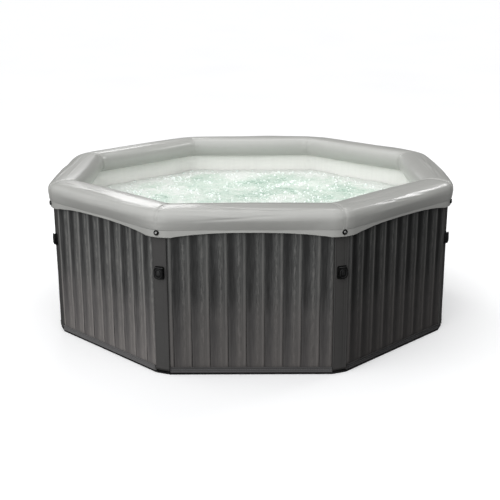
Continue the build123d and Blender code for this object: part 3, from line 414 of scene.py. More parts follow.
def wood_print():
    """Grey wood planks printed on soft vinyl, plain and browner low down, lighter there as painted light,
    and with painted side shade.
    """
    m = Nodes("wood_print")
    value, low, coarse, fine = wood_tone(m)
    color = m.ramp(
        value,
        [
            (0.0, rgb(33, 33, 33)),
            (0.25, rgb(49, 49, 49)),
            (0.50, rgb(67, 67, 67)),
            (0.75, rgb(84, 84, 83)),
            (1.0, rgb(101, 100, 99)),
        ],
    )
    tint = m.mix(low, (0.99, 1.0, 0.98, 1), (1.06, 0.99, 0.97, 1))
    color = m.mix(1.0, color, tint, "MULTIPLY")
    color = times_attribute(m, color, "side_shade")
    rough = m.grey_ramp(coarse, [(0.3, 0.60), (0.7, 0.48)])
    bump = m.bump(coarse, 0.0006, 0.5)
    bump = m.bump(fine, 0.00025, 0.5, bump)
    return m.finish(color, rough, bump, specular_ior_level=0.28)


def times_attribute(m, color, attribute):
    """Multiply a colour by a number kept on the mesh."""
    factor = m.add("Attribute", attribute_name=attribute).outputs["Fac"]
    grey = m.add("CombineXYZ", {0: factor, 1: factor, 2: factor}).outputs[0]
    return m.mix(1.0, color, grey, "MULTIPLY")


def soft_vinyl(
    name,
    color,
    rough=0.45,
    spread=0.08,
    leather=900.0,
    depth=0.00012,
    specular=0.5,
    streak=0.0,
    shaded=False,
):
    """Vinyl with an embossed leather grain, faint clouding and uneven gloss."""
    m = Nodes(name)
    place = m.place()
    cloud = m.noise(place, 6.0, 4.0)
    patch = m.noise(place, 45.0, 3.0)
    tone = m.math("ADD", m.math("MULTIPLY", cloud, 0.65), m.math("MULTIPLY", patch, 0.35))
    tones = [(0.3, shade(color, 1 - spread)), (0.5, color), (0.7, shade(color, 1 + spread))]
    color_out = m.ramp(tone, tones)
    if streak:
        lines = m.noise(m.place((1, 1, 0.04)), 55.0, 3.0)
        dark = m.grey_ramp(lines, [(0.38, 1 - streak), (0.6, 1.0)])
        color_out = m.mix(1.0, color_out, dark, "MULTIPLY")
    if shaded:
        color_out = times_attribute(m, color_out, "side_shade")
    cells = m.add("TexVoronoi", {"Vector": place, "Scale": leather}, feature="DISTANCE_TO_EDGE").outputs[0]
    grain = m.grey_ramp(cells, [(0.0, 0.0), (0.28, 1.0)])
    rough_out = m.grey_ramp(cloud, [(0.2, rough - 0.02), (0.8, rough + 0.03)])
    dents = m.noise(place, 20.0, 2.0, 0.5)
    bump = m.bump(dents, depth * 12, 0.5)
    bump = m.bump(grain, depth * 0.4, 0.25, bump)
    return m.finish(color_out, rough_out, bump, specular_ior_level=specular)


def water_surface():
    """Pale green water full of air: white foam on its crests, glassy in its hollows."""
    m = Nodes("water")
    place = m.place()
    height = m.add("Attribute", attribute_name="crest").outputs["Fac"]
    broad = m.noise(place, 5.0, 5.0, 0.6)
    froth = m.noise(place, 38.0, 6.0, 0.7)
    cells = m.add("TexVoronoi", {"Vector": place, "Scale": 95.0}, feature="SMOOTH_F1").outputs[0]
    foam = m.math("ADD", m.math("MULTIPLY", broad, 0.55), m.math("MULTIPLY", froth, 0.45))
    foam = m.math("MULTIPLY_ADD", height, 0.22, foam)
    color = m.ramp(
        foam,
        [
            (0.36, (0.40, 0.56, 0.46)),
            (0.46, (0.52, 0.65, 0.56)),
            (0.56, (0.63, 0.72, 0.64)),
            (0.68, (0.77, 0.80, 0.76)),
        ],
    )
    rough = m.grey_ramp(foam, [(0.42, 0.25), (0.62, 0.65)])
    bump = m.bump(froth, 0.010, 0.55)
    bump = m.bump(cells, 0.004, 0.5, bump)
    return m.finish(color, rough, bump, specular_ior_level=0.5)


def foam_bubbles():
    m = Nodes("foam_bubbles")
    place = m.place()
    tone = m.noise(place, 60.0, 3.0)
    color = m.ramp(tone, [(0.3, (0.80, 0.92, 0.86)), (0.65, (0.97, 0.98, 0.96))])
    rough = m.grey_ramp(tone, [(0.3, 0.10), (0.7, 0.28)])
    bump = m.bump(m.noise(place, 400.0, 2.0), 0.0003, 0.4)
    return m.finish(color, rough, bump, specular_ior_level=0.5)


def foam_rubber():
    """Black closed-cell mat with a pebbled face."""
    m = Nodes("black_mat")
    place = m.place()
    cells = m.add("TexVoronoi", {"Vector": place, "Scale": 320.0}).outputs[0]
    dust = m.noise(place, 14.0, 5.0)
    color = m.ramp(dust, [(0.35, (0.006, 0.006, 0.006)), (0.7, (0.016, 0.016, 0.016))])
    rough = m.grey_ramp(cells, [(0.0, 0.95), (0.6, 0.8)])
    return m.finish(color, rough, m.bump(cells, 0.0008, 0.6), specular_ior_level=0.08)


# ---------------------------------------------------------------- materials of the hard parts
def moulded(name, color, rough=0.42, grain=0.00008, spread=0.06, specular=0.5):
    """Injection-moulded plastic: fine spark texture, slight clouding and scuffs."""
    m = Nodes(name)
    place = m.place()
    cloud = m.noise(place, 11.0, 4.0)
    color_out = m.ramp(cloud, [(0.3, shade(color, 1 - spread)), (0.7, shade(color, 1 + spread))])
    scuff = m.noise(m.place((1, 1, 0.2)), 70.0, 5.0, 0.7)
    rough_out = m.grey_ramp(scuff, [(0.35, rough - 0.04), (0.66, rough + 0.12)])
    spark = m.noise(place, 2200.0, 2.0)
    return m.finish(color_out, rough_out, m.bump(spark, grain, 0.6), specular_ior_level=specular)


def metal(name, color, rough=0.3, brushed=(1, 1, 30)):
    m = Nodes(name)
    lines = m.noise(m.place(brushed), 90.0, 4.0, 0.6)
    color_out = m.ramp(lines, [(0.3, shade(color, 0.82)), (0.7, color)])
    rough_out = m.grey_ramp(lines, [(0.3, rough), (0.7, rough + 0.15)])
    return m.finish(color_out, rough_out, m.bump(lines, 0.00005, 0.5), metallic=1.0)


def rubber(name, color):
    m = Nodes(name)
    place = m.place()
    dust = m.noise(place, 25.0, 5.0)
    color_out = m.ramp(dust, [(0.4, color), (0.75, shade(color, 1.8))])
    rough_out = m.grey_ramp(dust, [(0.4, 0.7), (0.7, 0.9)])
    return m.finish(color_out, rough_out, m.bump(m.noise(place, 900.0), 0.0001, 0.5))


def pleated_paper():
    m = Nodes("filter_paper")
    place = m.place()
    fibre = m.noise(m.place((1, 0.2, 1)), 700.0, 4.0, 0.7)
    stain = m.noise(place, 18.0, 4.0)
    stained = m.grey_ramp(stain, [(0.45, 0.0), (0.8, 0.35)])
    color = m.mix(stained, (0.84, 0.84, 0.80, 1), (0.60, 0.58, 0.50, 1))
    color = m.mix(m.math("MULTIPLY", fibre, 0.25), color, (0.55, 0.54, 0.50, 1))
    return m.finish(color, 0.9, m.bump(fibre, 0.0002, 0.7))


def display_glass():
    m = Nodes("display_glass")
    place = m.place()
    smear = m.noise(place, 60.0, 4.0)
    color = m.ramp(smear, [(0.3, (0.008, 0.012, 0.014)), (0.7, (0.014, 0.020, 0.023))])
    rough = m.grey_ramp(smear, [(0.4, 0.04), (0.7, 0.14)])
    return m.finish(color, rough, m.bump(smear, 0.00003, 0.4), coat_weight=0.5)


def circuit_green():
    m = Nodes("board_green")
    place = m.place()
    brick = {"Vector": m.place((0, 60, 60)), "Scale": 1.6, "Mortar Size": 0.03}
    tracks = m.add("TexBrick", brick).outputs[1]
    color = m.mix(tracks, (0.010, 0.075, 0.030, 1), (0.03, 0.20, 0.08, 1))
    rough = m.grey_ramp(m.noise(place, 90.0), [(0.3, 0.3), (0.7, 0.5)])
    return m.finish(color, rough, m.bump(tracks, 0.0001, 0.5))


MATERIALS = {}


def make_materials():
    """One material for each slot of the record, and those of the added pieces."""
    for name, *args in (
        ("strip_vinyl", rgb(64, 63, 62), 0.50, 0.07, 1300.0, 0.00006, 0.3),
        ("hem_vinyl", rgb(70, 69, 69), 0.50, 0.07, 1300.0, 0.00006, 0.3, 0.0, True),
        ("rim_vinyl", rgb(172, 172, 168), 0.30, 0.03, 850.0, 0.00005, 0.7),
        ("rim_weld", rgb(176, 176, 172), 0.34, 0.03, 850.0, 0.00004, 0.6),
        ("liner_vinyl", rgb(243, 243, 239), 0.55, 0.02, 700.0, 0.00010, 0.3, 0.02),
        ("chamber_vinyl", rgb(175, 176, 173), 0.45, 0.05),
        ("duct_vinyl", rgb(226, 227, 223), 0.4, 0.04),
        ("foam", rgb(220, 220, 214), 0.9, 0.05, 500.0, 0.0005, 0.2),
    ):
        MATERIALS[name] = soft_vinyl(name, *args)
    for name, *args in (
        ("black_plastic", (0.005, 0.005, 0.005, 1), 0.50, 0.00008, 0.06, 0.12),
        ("buckle_gloss", (0.008, 0.008, 0.008, 1), 0.34, 0.00008, 0.06, 0.4),
        ("grey_plastic", (0.13, 0.13, 0.135, 1), 0.42),
        ("white_plastic", (0.76, 0.76, 0.74, 1), 0.35),
        ("unit_white", (0.78, 0.78, 0.77, 1), 0.40, 0.00012, 0.03),
        ("unit_grey", (0.085, 0.087, 0.092, 1), 0.45, 0.00012),
        ("fascia_black", (0.010, 0.010, 0.011, 1), 0.14, 0.00002),
        ("button_plastic", (0.28, 0.29, 0.30, 1), 0.32),
        ("icon_white", (0.80, 0.82, 0.83, 1), 0.40),
        ("motor_metal", (0.07, 0.08, 0.09, 1), 0.5, 0.0002),
    ):
        MATERIALS[name] = moulded(name, *args)
    for name, *args in (
        ("stud_black", (0.02, 0.02, 0.02, 1), 0.35),
        ("stud_metal", (0.42, 0.42, 0.41, 1), 0.28),
        ("screw_steel", (0.55, 0.55, 0.56, 1), 0.25),
        ("heater_steel", (0.60, 0.60, 0.60, 1), 0.22, (30, 1, 1)),
    ):
        MATERIALS[name] = metal(name, *args)
    for name, *args in (
        ("gasket_rubber", (0.015, 0.015, 0.015, 1)),
        ("foot_rubber", (0.020, 0.020, 0.020, 1)),
    ):
        MATERIALS[name] = rubber(name, *args)
    MATERIALS["wood_print"] = wood_print()
    MATERIALS["black_mat"] = foam_rubber()
    MATERIALS["water"] = water_surface()
    MATERIALS["foam_bubbles"] = foam_bubbles()
    MATERIALS["filter_paper"] = pleated_paper()
    MATERIALS["display_glass"] = display_glass()
    MATERIALS["board_green"] = circuit_green()


def finish_piece(obj, material, body=TUB):
    obj.data.materials.clear()
    obj.data.materials.append(MATERIALS[material])
    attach(obj, body)
    return obj


def dress_cad_nodes():
    """Give every CAD node the material of its own slot."""
    for sub in frame["record"]["subparts"]:
        node = frame["nodes"][sub["node"]]
        material = MATERIALS[sub["material_slot"]]
        if not node.material_slots:
            node.data.materials.append(material)
        for slot in node.material_slots:
            slot.material = material


# ---------------------------------------------------------------- rim
RIM_INSIDE_CORNER = 0.085
RIM_OUTSIDE_CORNER = 0.150


def smooth_path(points, steps):
    """Catmull-Rom curve through the points."""
    points = np.asarray(points, dtype=float)
    padded = np.vstack([2 * points[0] - points[1], points, 2 * points[-1] - points[-2]])
    t = np.linspace(0, 1, steps, endpoint=False)[:, None]
    pieces = []
    for a, b, c, d in zip(padded, padded[1:], padded[2:], padded[3:]):
        curve = 2 * b + (c - a) * t + (2 * a - 5 * b + 4 * c - d) * t**2 + (3 * b - a - 3 * c + d) * t**3
        pieces.append(curve / 2)
    return np.vstack(pieces + [points[-1:]])


def rim_bulge():
    """Section of the inflated rim, from the foot inside the wall over the crest to the skirt's crease."""
    width = RIM_OUTER - RIM_INNER
    top = RIM_TOP + 0.0005
    foot = RIM_LOW
    return smooth_path(
        [
            (RIM_INNER + 0.30 * width, foot + 0.003),
            (RIM_INNER + 0.15 * width, foot + 0.008),
            (RIM_INNER + 0.035 * width, foot + 0.030),
            (RIM_INNER, foot + 0.058),
            (RIM_INNER + 0.05 * width, top - 0.024),
            (RIM_INNER + 0.19 * width, top - 0.005),
            (RIM_INNER + 0.38 * width, top),
            (RIM_INNER + 0.60 * width, top - 0.0018),
            (RIM_INNER + 0.79 * width, top - 0.0065),
            (RIM_INNER + 0.92 * width, top - 0.0160),
            (RIM_INNER + 0.988 * width, top - 0.034),
            (RIM_OUTER, top - 0.054),
            (RIM_OUTER - 0.0022, top - 0.074),
            (SKIRT_FACE + 0.0014, top - 0.0920),
        ],
        12,
    )


def corner_radius(apothem):
    """Plan radius of the corners, tight inside the rim and wide outside it."""
    share = np.clip((apothem - RIM_INNER) / (WALL - RIM_INNER), 0, 1)
    return RIM_INSIDE_CORNER + (RIM_OUTSIDE_CORNER - RIM_INSIDE_CORNER) * share


def rim_rows():
    """Rows of the closed rim: apothem, height, how much of it is bulge, and its share down the skirt."""
    bulge = rim_bulge()
    crease_z = bulge[-1, 1]
    rows = [(r, z, 1.0, 0.0) for r, z in bulge]
    rows += [(SKIRT_FACE, crease_z - 0.002, 0.0, 0.0)]
    rows += [(SKIRT_FACE - 0.0020 * t, crease_z - 0.002, 0.0, t) for t in np.linspace(0.06, 1, 14)]
    rows += [(SKIRT_FACE - 0.0022 - 0.0020 * t, crease_z - 0.002, 0.0, t) for t in np.linspace(1, 0.1, 6)]
    rows += [(SKIRT_FACE - 0.0026, PANEL_TOP + 0.003, 0.0, 0.0), (WALL, PANEL_TOP + 0.002, 0.0, 0.0)]
    rows += [(LINER_BACK + 0.004, PANEL_TOP + 0.002, 0.0, 0.0), (LINER - 0.003, PANEL_TOP - 0.006, 0.0, 0.0)]
    return np.array(rows)


# A soft fold that runs along a side of the rim.
Fold = namedtuple("Fold", "number along place length width depth tilt")


def rim_folds():
    """Long shallow folds on the outer face, and one sharp line along each shoulder."""
    rng = random.Random(11)
    folds = []
    for number in range(1, SIDES + 1):
        for _ in range(12):
            length = rng.uniform(0.06, 0.20)
            width = rng.uniform(0.004, 0.009)
            depth = rng.choice((-1, 1)) * rng.uniform(0.0010, 0.0024)
            place = rng.uniform(0.205, 0.295)
            along, tilt = rng.uniform(-0.8, 0.8), rng.uniform(-0.08, 0.08)
            folds.append(Fold(number, along, place, length, width, depth, tilt))
        folds.append(Fold(number, rng.uniform(-0.1, 0.25), 0.1915, 0.26, 0.0026, 0.0014, 0.010))
        folds.append(Fold(number, rng.uniform(-0.4, 0.2), 0.262, 0.20, 0.0034, 0.0012, -0.015))
    return folds


def rim_shape(samples):
    """Points of the rim over the given places in plan, as rows by places by 3."""
    numbers, along, turn = samples
    rows = rim_rows()
    r, z, bulge, skirt = (column[:, None] for column in rows.T)
    step = np.hypot(np.diff(rows[:, 0], prepend=rows[0, 0]), np.diff(rows[:, 1], prepend=rows[0, 1]))
    place = np.cumsum(step)[:, None]
    ahead = np.roll(rows[:, :2], -1, axis=0) - np.roll(rows[:, :2], 1, axis=0)
    ahead /= np.linalg.norm(ahead, axis=1)[:, None]
    out_r, out_z = -ahead[:, 1][:, None], ahead[:, 0][:, None]
    out_r, out_z = np.where(bulge > 0, out_r, 1.0), np.where(bulge > 0, out_z, 0.0)
    length = float(place[bulge > 0].max())
    fade = bulge * np.clip(np.minimum(place / 0.03, (length - place) / 0.042), 0, 1)

    straight = turn <= -1
    crown = np.where(straight, 1 - along**2, 0.0)
    half = (WALL - RIM_OUTSIDE_CORNER) * math.tan(HALF)
    arc = np.where(straight, (1 - np.abs(along)) * half + 0.08, np.abs(turn) * 0.08)
    numbers_turned = numbers + np.where(straight, 0.5 + 0.5 * along, 1.0 + 0.0 * turn)
    angle = numbers_turned * 2 * HALF
    loop = np.stack([np.cos(angle) * 2.4, np.sin(angle) * 2.4, np.zeros_like(angle)], axis=-1)
    wave = smooth_noise(loop, 2.6, 2)
    ripple = smooth_noise(loop, 11.0, 3)

    pinch = 0.0018 * np.exp(-((arc / 0.014) ** 2)) + 0.0012 * np.exp(-((arc / 0.06) ** 2))
    push = fade * (0.0080 * crown - pinch)
    for fold in rim_folds():
        near = (numbers == fold.number) & straight
        across = (along - fold.along) * half
        shape = bump_at(place, fold.place + fold.tilt * across, fold.width) * bump_at(across, 0, fold.length)
        push = push + fade * np.where(near, fold.depth * shape, 0.0)
    pucker = np.sin(place * 210 + 3 * wave) * np.exp(-arc / 0.05) * (arc > 0.012)
    push = push + fade * 0.0005 * pucker

    low_edge = SKIRT_LOW + SKIRT_ARCH * np.where(straight, 1 - np.abs(along) ** 2.6, 0.0)
    low_edge = low_edge + (0.0016 * ripple + 0.0012 * wave) * np.where(straight, 1, 0.25)
    height = np.where(skirt > 0, z + (low_edge - z) * skirt, z)
    flare = skirt * (0.0020 * crown + 0.0012 * ripple * crown + 0.0010 * wave)
    apothem = r + push * out_r + flare
    height = height + (push - 0.0065 * fade * crown) * out_z
    surface = []
    for row_r, row_apothem, row_height in zip(rows[:, 0], apothem, height):
        x, y, _ = plan_point(samples, row_apothem, corner_radius(row_r))
        surface.append(np.stack([x, y, row_height], axis=-1))
    return np.array(surface), rows


def make_rim():
    samples = plan_samples(84, 26)
    surface, rows = rim_shape(samples)
    count, cols = surface.shape[:2]
    points = surface.reshape(-1, 3)
    drift = smooth_noise(points, 7.0, 4) * 0.0014 + smooth_noise(points, 26.0, 5) * 0.0005
    weight = np.repeat(rows[:, 2], cols) * (points[:, 2] > RIM_LOW + 0.012)
    away = points / np.linalg.norm(points[:, :2], axis=1)[:, None]
    away[:, 2] = 0
    points = points + away * (drift * weight)[:, None]
    faces = grid_faces(count, cols, close_rows=True, close_cols=True)
    rim = mesh_object("rim_cover", points, faces)
    finish_piece(rim, "rim_vinyl")
    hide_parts("rim_ring", "rim_skirt")
    return rim


WELD_TURN = 0.115             # place of a corner's two weld lines round its turn
WELD_RADIUS = 0.0014


def make_rim_welds():
    """Two raised weld lines over the rim and down the skirt at each corner."""
    parts = []
    for n in range(1, SIDES + 1):
        for turn in (-WELD_TURN, WELD_TURN):
            surface, rows = rim_shape((np.array([n]), np.array([1.0]), np.array([turn])))
            bulge = rows[:, 2] > 0
            outside = np.arange(len(rows)) <= np.argmax(rows[:, 3])
            path = surface[bulge | outside, 0, :]
            parts.append(tube(path, WELD_RADIUS, 6))
    verts, faces = merge(parts)
    welds = mesh_object("rim_welds", verts, faces)
    return finish_piece(welds, "rim_weld")


def make_studs():
    """Black eyelet round a pale snap at the skirt's corners."""
    eyelet = [
        (0, 0.0), (0.0118, 0.0), (0.0122, 0.0016), (0.0116, 0.0044), (0.0098, 0.0058),
        (0.0078, 0.0056),
        (0.0068, 0.0044), (0.0064, 0.0020), (0, 0.0020),
    ]
    snap = [
        (0, 0.0015), (0.0060, 0.0015), (0.0060, 0.0052), (0.0052, 0.0070), (0.0034, 0.0080),
        (0.0018, 0.0074), (0, 0.0070),
    ]
    face = (SKIRT_FACE - RIM_OUTSIDE_CORNER) / math.cos(HALF) + RIM_OUTSIDE_CORNER - 0.0008
    pieces = (("stud_eyelets", eyelet, "stud_black"), ("stud_snaps", snap, "stud_metal"))
    for name, profile, material in pieces:
        parts = []
        for n in range(1, SIDES + 1):
            verts, faces = lathe(profile, 28)
            flat = np.stack([verts[:, 2], verts[:, 1], -verts[:, 0]], axis=-1)
            parts.append((turned(flat, corner_angle(n), (face, 0, STUD_Z)), faces))
        verts, faces = merge(parts)
        obj = mesh_object(name, verts, faces)
        finish_piece(obj, material)
        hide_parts("rim_studs")


def oval(half_width, half_height, power=2.8, count=36):
    """Closed rounded outline, as (across, up) points."""
    turn = np.arange(count) * 2 * math.pi / count
    share = 2.0 / power
    across = half_width * np.sign(np.cos(turn)) * np.abs(np.cos(turn)) ** share
    up = half_height * np.sign(np.sin(turn)) * np.abs(np.sin(turn)) ** share
    return np.column_stack([across, up])


def button_pad(half_width, half_height, low, high):
    """Low pad with a rolled edge, facing +X."""
    rows = []
    edge = ((1.0, low), (1.0, high - 0.0007), (0.94, high - 0.0002), (0.80, high), (0.02, high + 0.0003))
    for scale, x in edge:
        rows.append([(x, y, z) for y, z in oval(half_width * scale, half_height * scale)])
    return loft(rows)


def cross_bar(end_x, end_y, end_z, x, y, z, radius):
    """Bar across a buckle, from one end over its straight middle to the other end."""
    path = [(end_x, -end_y, end_z), (x, -y, z), (x, y, z), (end_x, end_y, end_z)]
    return tube(path, radius, 10)


def make_buckle_trim():
    """Raised rim, press tongue with grips, top lip and strap bar on each buckle half."""
    low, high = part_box("buckle_sockets")
    middle = (low.z + high.z) / 2
    face = STRIP_FACE + BUCKLE_DEPTH
    parts = []
    for n in range(1, SIDES + 1):
        rim = [(0.0002, y, z - 0.002) for y, z in oval(0.0152, 0.0188)]
        local = [tube(rim, 0.0015, 8, closed=True), button_pad(0.0085, 0.0120, -0.002, 0.0012)]
        for z in (-0.006, -0.001, 0.004):
            local.append(tube([(0.0011, -0.005, z), (0.0016, 0.0, z), (0.0011, 0.005, z)], 0.0008, 6))
        local.append(cross_bar(-0.005, 0.019, 0.0235, -0.0022, 0.014, 0.0245, 0.0026))
        local.append(cross_bar(-0.011, 0.017, -0.0225, -0.009, 0.011, -0.0275, 0.0022))
        verts, faces = merge(local)
        parts.append((turned(verts, corner_angle(n), (face, 0, middle)), faces))
    verts, faces = merge(parts)
    trim = mesh_object("buckle_trim", verts, faces)
    return finish_piece(trim, "buckle_gloss")


# ---------------------------------------------------------------- walls
# Light painted into the print and the hems, for the photograph's brighter left: a real tub has none.
# 0 gives every side the front panel's print.
SIDE_SHADE = 0.45
RIDGE = 0.17                 # place of a plank's ridge across its width
GROOVE = 0.262


def plank_relief(share, height):
    """Face of a plank: a narrow ridge with a groove beside it, then a shallow hollow."""
    low = np.clip(1.15 - 1.5 * height / PANEL_TOP, 0.15, 1.0)
    ridge = 0.0030 * bump_at(share, RIDGE, 0.075)
    groove = -0.0030 * low * bump_at(share, GROOVE, 0.016)
    hollow = -0.0012 * bump_at(share, 0.52, 0.20)
    swell = 0.0008 * bump_at(share, 0.88, 0.06)
    return ridge + groove + hollow + swell


def plank_places():
    """Places across a panel, closer together at the ridges and grooves."""
    fine = np.linspace(0.06, 0.30, 17)
    coarse = np.linspace(0.30, 1.06, 15)[1:-1]
    one = np.concatenate([fine, coarse])
    places = np.concatenate([[0.0]] + [one + i for i in range(PLANKS)])
    places = places[places < PLANKS]
    return np.concatenate([places, [PLANKS]]) * PITCH - PANEL_HALF


def slab_loop(front, back_half, back):
    """Close a front edge, given as (radial, across) points, round the back of a panel."""
    return np.vstack([front, [[back, back_half], [back, -back_half]]])


def upright(fronts, heights, back, back_half):
    """Upright closed slab from a front line at each height."""
    rows = []
    for front, z in zip(fronts, heights):
        loop = slab_loop(front, back_half, back)
        rows.append(np.column_stack([loop, np.full(len(loop), z)]))
    return loft(rows)


def side_shade(n, z):
    """Painted light: what a side's colour is multiplied by, over 1 towards -X and under 1 towards +X."""
    return np.exp(-SIDE_SHADE * (1.9 - 1.05 * z / PANEL_TOP) * math.cos(side_angle(n)))


def make_panel(n):
    """Padded panel with its planks, pulled in at the hem and softly uneven."""
    edge = 0.0012
    across = np.clip(plank_places(), edge - PANEL_HALF, PANEL_HALF - edge)
    hem_heights = np.linspace(PANEL_LOW + 0.001, HEM_TOP + 0.006, 7)
    heights = np.concatenate([hem_heights, np.linspace(HEM_TOP + 0.012, PANEL_TOP - 0.001, 54)])
    share = ((across + PANEL_HALF) / PITCH) % 1.0
    to_edge = PANEL_HALF - np.abs(across)
    rolled = -0.0045 * bump_at(to_edge, 0, 0.005)
    fronts = []
    for z in heights:
        seam = bump_at(z, HEM_TOP, 0.006) + (z < HEM_TOP)
        seam = min(1.0, seam)
        soft = 0.0015 * smooth_noise([(a, z * 0.6, n * 3.0) for a in across], 6.0, 7)
        x = WALL + (plank_relief(share, z) + soft) * (1 - seam) + rolled - 0.0016 * seam
        fronts.append(np.column_stack([x, across]))
    verts, faces = upright(fronts, heights, PANEL_BACK, PANEL_HALF - 0.004)
    panel = mesh_object(f"side_panel_{n}", turned(verts, side_angle(n)), faces)
    put_uv(panel, "plank", verts[:, 1] + PANEL_HALF, verts[:, 2])
    put_value(panel, "panel_number", np.full(len(verts), float(n)))
    put_value(panel, "side_shade", side_shade(n, verts[:, 2]))
    finish_piece(panel, "wood_print")
    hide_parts(f"wall_panel_{n}")


STRIP_LIFT = 0.0065           # how far the mat's edge shows under a strip


def make_corner_strip(n):
    """Plain padded strip with a piped edge down each side."""
    across = np.linspace(-STRIP_HALF + 0.001, STRIP_HALF - 0.001, 41)
    heights = np.linspace(PANEL_LOW + STRIP_LIFT, PANEL_TOP - 0.001, 60)
    to_edge = STRIP_HALF - np.abs(across)
    crown = 0.0022 * (1 - (across / STRIP_HALF) ** 2)
    fold = -0.0010 * bump_at(across, STRIP_HALF * 0.42, 0.0022)
    piping = 0.0020 * bump_at(to_edge, 0.0042, 0.0022) - 0.0030 * bump_at(to_edge, 0, 0.0018)
    fronts = []
    for z in heights:
        place = [(a, z, n * 2.0) for a in across]
        soft = 0.0012 * smooth_noise(place, 7.0, 9)
        fronts.append(np.column_stack([STRIP_FACE - 0.0012 + crown + fold + piping + soft, across]))
    verts, faces = upright(fronts, heights, STRIP_FACE - 0.013, STRIP_HALF - 0.004)
    strip = mesh_object(f"corner_strip_{n}", turned(verts, corner_angle(n)), faces)
    finish_piece(strip, "strip_vinyl")
    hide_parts("corner_strips")


HEM_LOW = MAT_TOP + 0.0006
HEM_HALF = PANEL_HALF - 0.0012
HEM_ROWS = (0.30, 0.66)       # places of the stitched grooves up the hem
STITCH_PITCH = 0.0075
STITCH_LENGTH = 0.0052


def make_hem(n):
    """Binding along the foot of a panel, with a piped top edge and two stitched grooves."""
    low, high = HEM_LOW, HEM_TOP
    out = HEM_OUT - WALL
    section = [(-0.001, low), (out * 0.75, low + 0.0004)]
    for share in np.linspace(0.04, 0.90, 14):
        groove = 0.0008 * (bump_at(share, HEM_ROWS[0], 0.05) + bump_at(share, HEM_ROWS[1], 0.05))
        section.append((out - 0.0002 - groove, low + (high - low) * share))
    section += [(out + 0.0012, high - 0.0012), (out + 0.0014, high)]
    section += [(out + 0.0006, high + 0.0014), (-0.001, high + 0.0014)]
    section = np.array(section)
    stations = np.linspace(-HEM_HALF, HEM_HALF, 90)
    rows = []
    for y in stations:
        wave = 0.0005 * noise.noise(Vector((y * 9, n * 4.0, 0)))
        rows.append(np.column_stack([WALL + section[:, 0] + wave, np.full(len(section), y), section[:, 1]]))
    verts, faces = loft(rows, flip=True)
    hem = mesh_object(f"hem_band_{n}", turned(verts, side_angle(n)), faces)
    put_value(hem, "side_shade", side_shade(n, verts[:, 2]))
    finish_piece(hem, "hem_vinyl")
    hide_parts("bottom_hem")


def make_hem_stitches(n):
    """Two rows of stitches in the hem's grooves."""
    stitches = []
    for share in HEM_ROWS:
        z = HEM_LOW + (HEM_TOP - HEM_LOW) * share
        for i in range(int(2 * HEM_HALF / STITCH_PITCH)):
            y = -HEM_HALF + STITCH_PITCH * (i + 0.5)
            x = HEM_OUT - 0.0003
            dips = ((-0.0010, -0.5), (0, -0.25), (0, 0.25), (-0.0010, 0.5))
            path = [(x + dip, y + STITCH_LENGTH * share_along, z) for dip, share_along in dips]
            stitches.append(tube(path, 0.0006, 5))
    verts, faces = merge(stitches)
    thread = mesh_object(f"hem_stitches_{n}", turned(verts, side_angle(n)), faces)
    finish_piece(thread, "grey_plastic")


def outline_ring(apothem, corner_distance, z, steps=14):
    """Octagon with flat corners, with points along every edge."""
    points = []
    for n in range(1, SIDES + 1):
        half = corner_distance / math.sin(HALF) - apothem / math.tan(HALF)
        for t in np.linspace(-1, 1, steps, endpoint=False):
            points.append(turned([[apothem, t * half, z]], side_angle(n))[0])
        flat = (apothem - corner_distance * math.cos(HALF)) / math.sin(HALF)
        for t in np.linspace(-1, 1, 4, endpoint=False):
            points.append(turned([[corner_distance, t * flat, z]], corner_angle(n))[0])
    return np.array(points)


def make_base_mat():
    """Black mat under the wall, rounded at its edge."""
    inset = STRIP_FACE - WALL
    rows = []
    top, bottom = MAT_TOP, 0.0
    edge = (
        (-0.012, bottom), (-0.002, bottom), (0, bottom + 0.002), (0.0006, 0.5 * top),
        (0, top - 0.002), (-0.002, top), (-0.012, top),
    )
    for out, z in edge:
        rows.append(outline_ring(MAT_APOTHEM + out, MAT_APOTHEM + out + inset, z))
    verts, faces = loft(rows)
    mat = mesh_object("ground_mat", verts, faces)
    finish_piece(mat, "black_mat")
    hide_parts("base_mat")


# ---------------------------------------------------------------- inside of the tub
def make_liner():
    """Inner skin: walls that swell a little between the corners, and the floor."""
    samples = plan_samples(60, 14)
    _, along, turn = samples
    straight = turn <= -1
    crown = np.where(straight, 1 - along**2, 0.0)
    rows = []
    inner_z = np.linspace(LINER_TOP - 0.001, FLOOR_Z + 0.03, 46)
    for z in inner_z:
        share = (z - FLOOR_Z) / (LINER_TOP - FLOOR_Z)
        swell = 0.004 * crown * math.sin(math.pi * share)
        rows.append(level_ring(samples, LINER - 0.0006 - swell, LINER_CORNER, z))
    floor = [(LINER - 0.004, FLOOR_Z + 0.010), (LINER - 0.014, FLOOR_Z + 0.002)]
    floor += [(0.70, FLOOR_Z), (0.45, FLOOR_Z), (0.15, FLOOR_Z)]
    for apothem, z in floor:
        rows.append(level_ring(samples, apothem, min(LINER_CORNER, apothem * 0.5), z))
    inner_count = len(rows)
    low = LINER_LOW + 0.0003
    back = [(0.15, low), (0.70, low), (LINER_BACK - 0.001, low), (LINER_BACK - 0.0004, LINER_TOP - 0.001)]
    for apothem, z in back:
        rows.append(level_ring(samples, apothem, min(LINER_CORNER, apothem * 0.5), z))
    rows = np.array(rows)
    count, cols = rows.shape[:2]
    faces = []
    for i in range(count):
        if i == inner_count - 1:
            continue
        faces.extend(grid_faces(2, cols, close_cols=True, start=i * cols) if i < count - 1 else [])
    top = (count - 1) * cols
    faces.extend([[top + j, top + (j + 1) % cols, (j + 1) % cols, j] for j in range(cols)])
    faces.append([(inner_count - 1) * cols + j for j in range(cols)])
    faces.append([inner_count * cols + j for j in range(cols)][::-1])
    liner = mesh_object("liner", rows.reshape(-1, 3), faces)
    finish_piece(liner, "liner_vinyl")
    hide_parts("inner_liner")


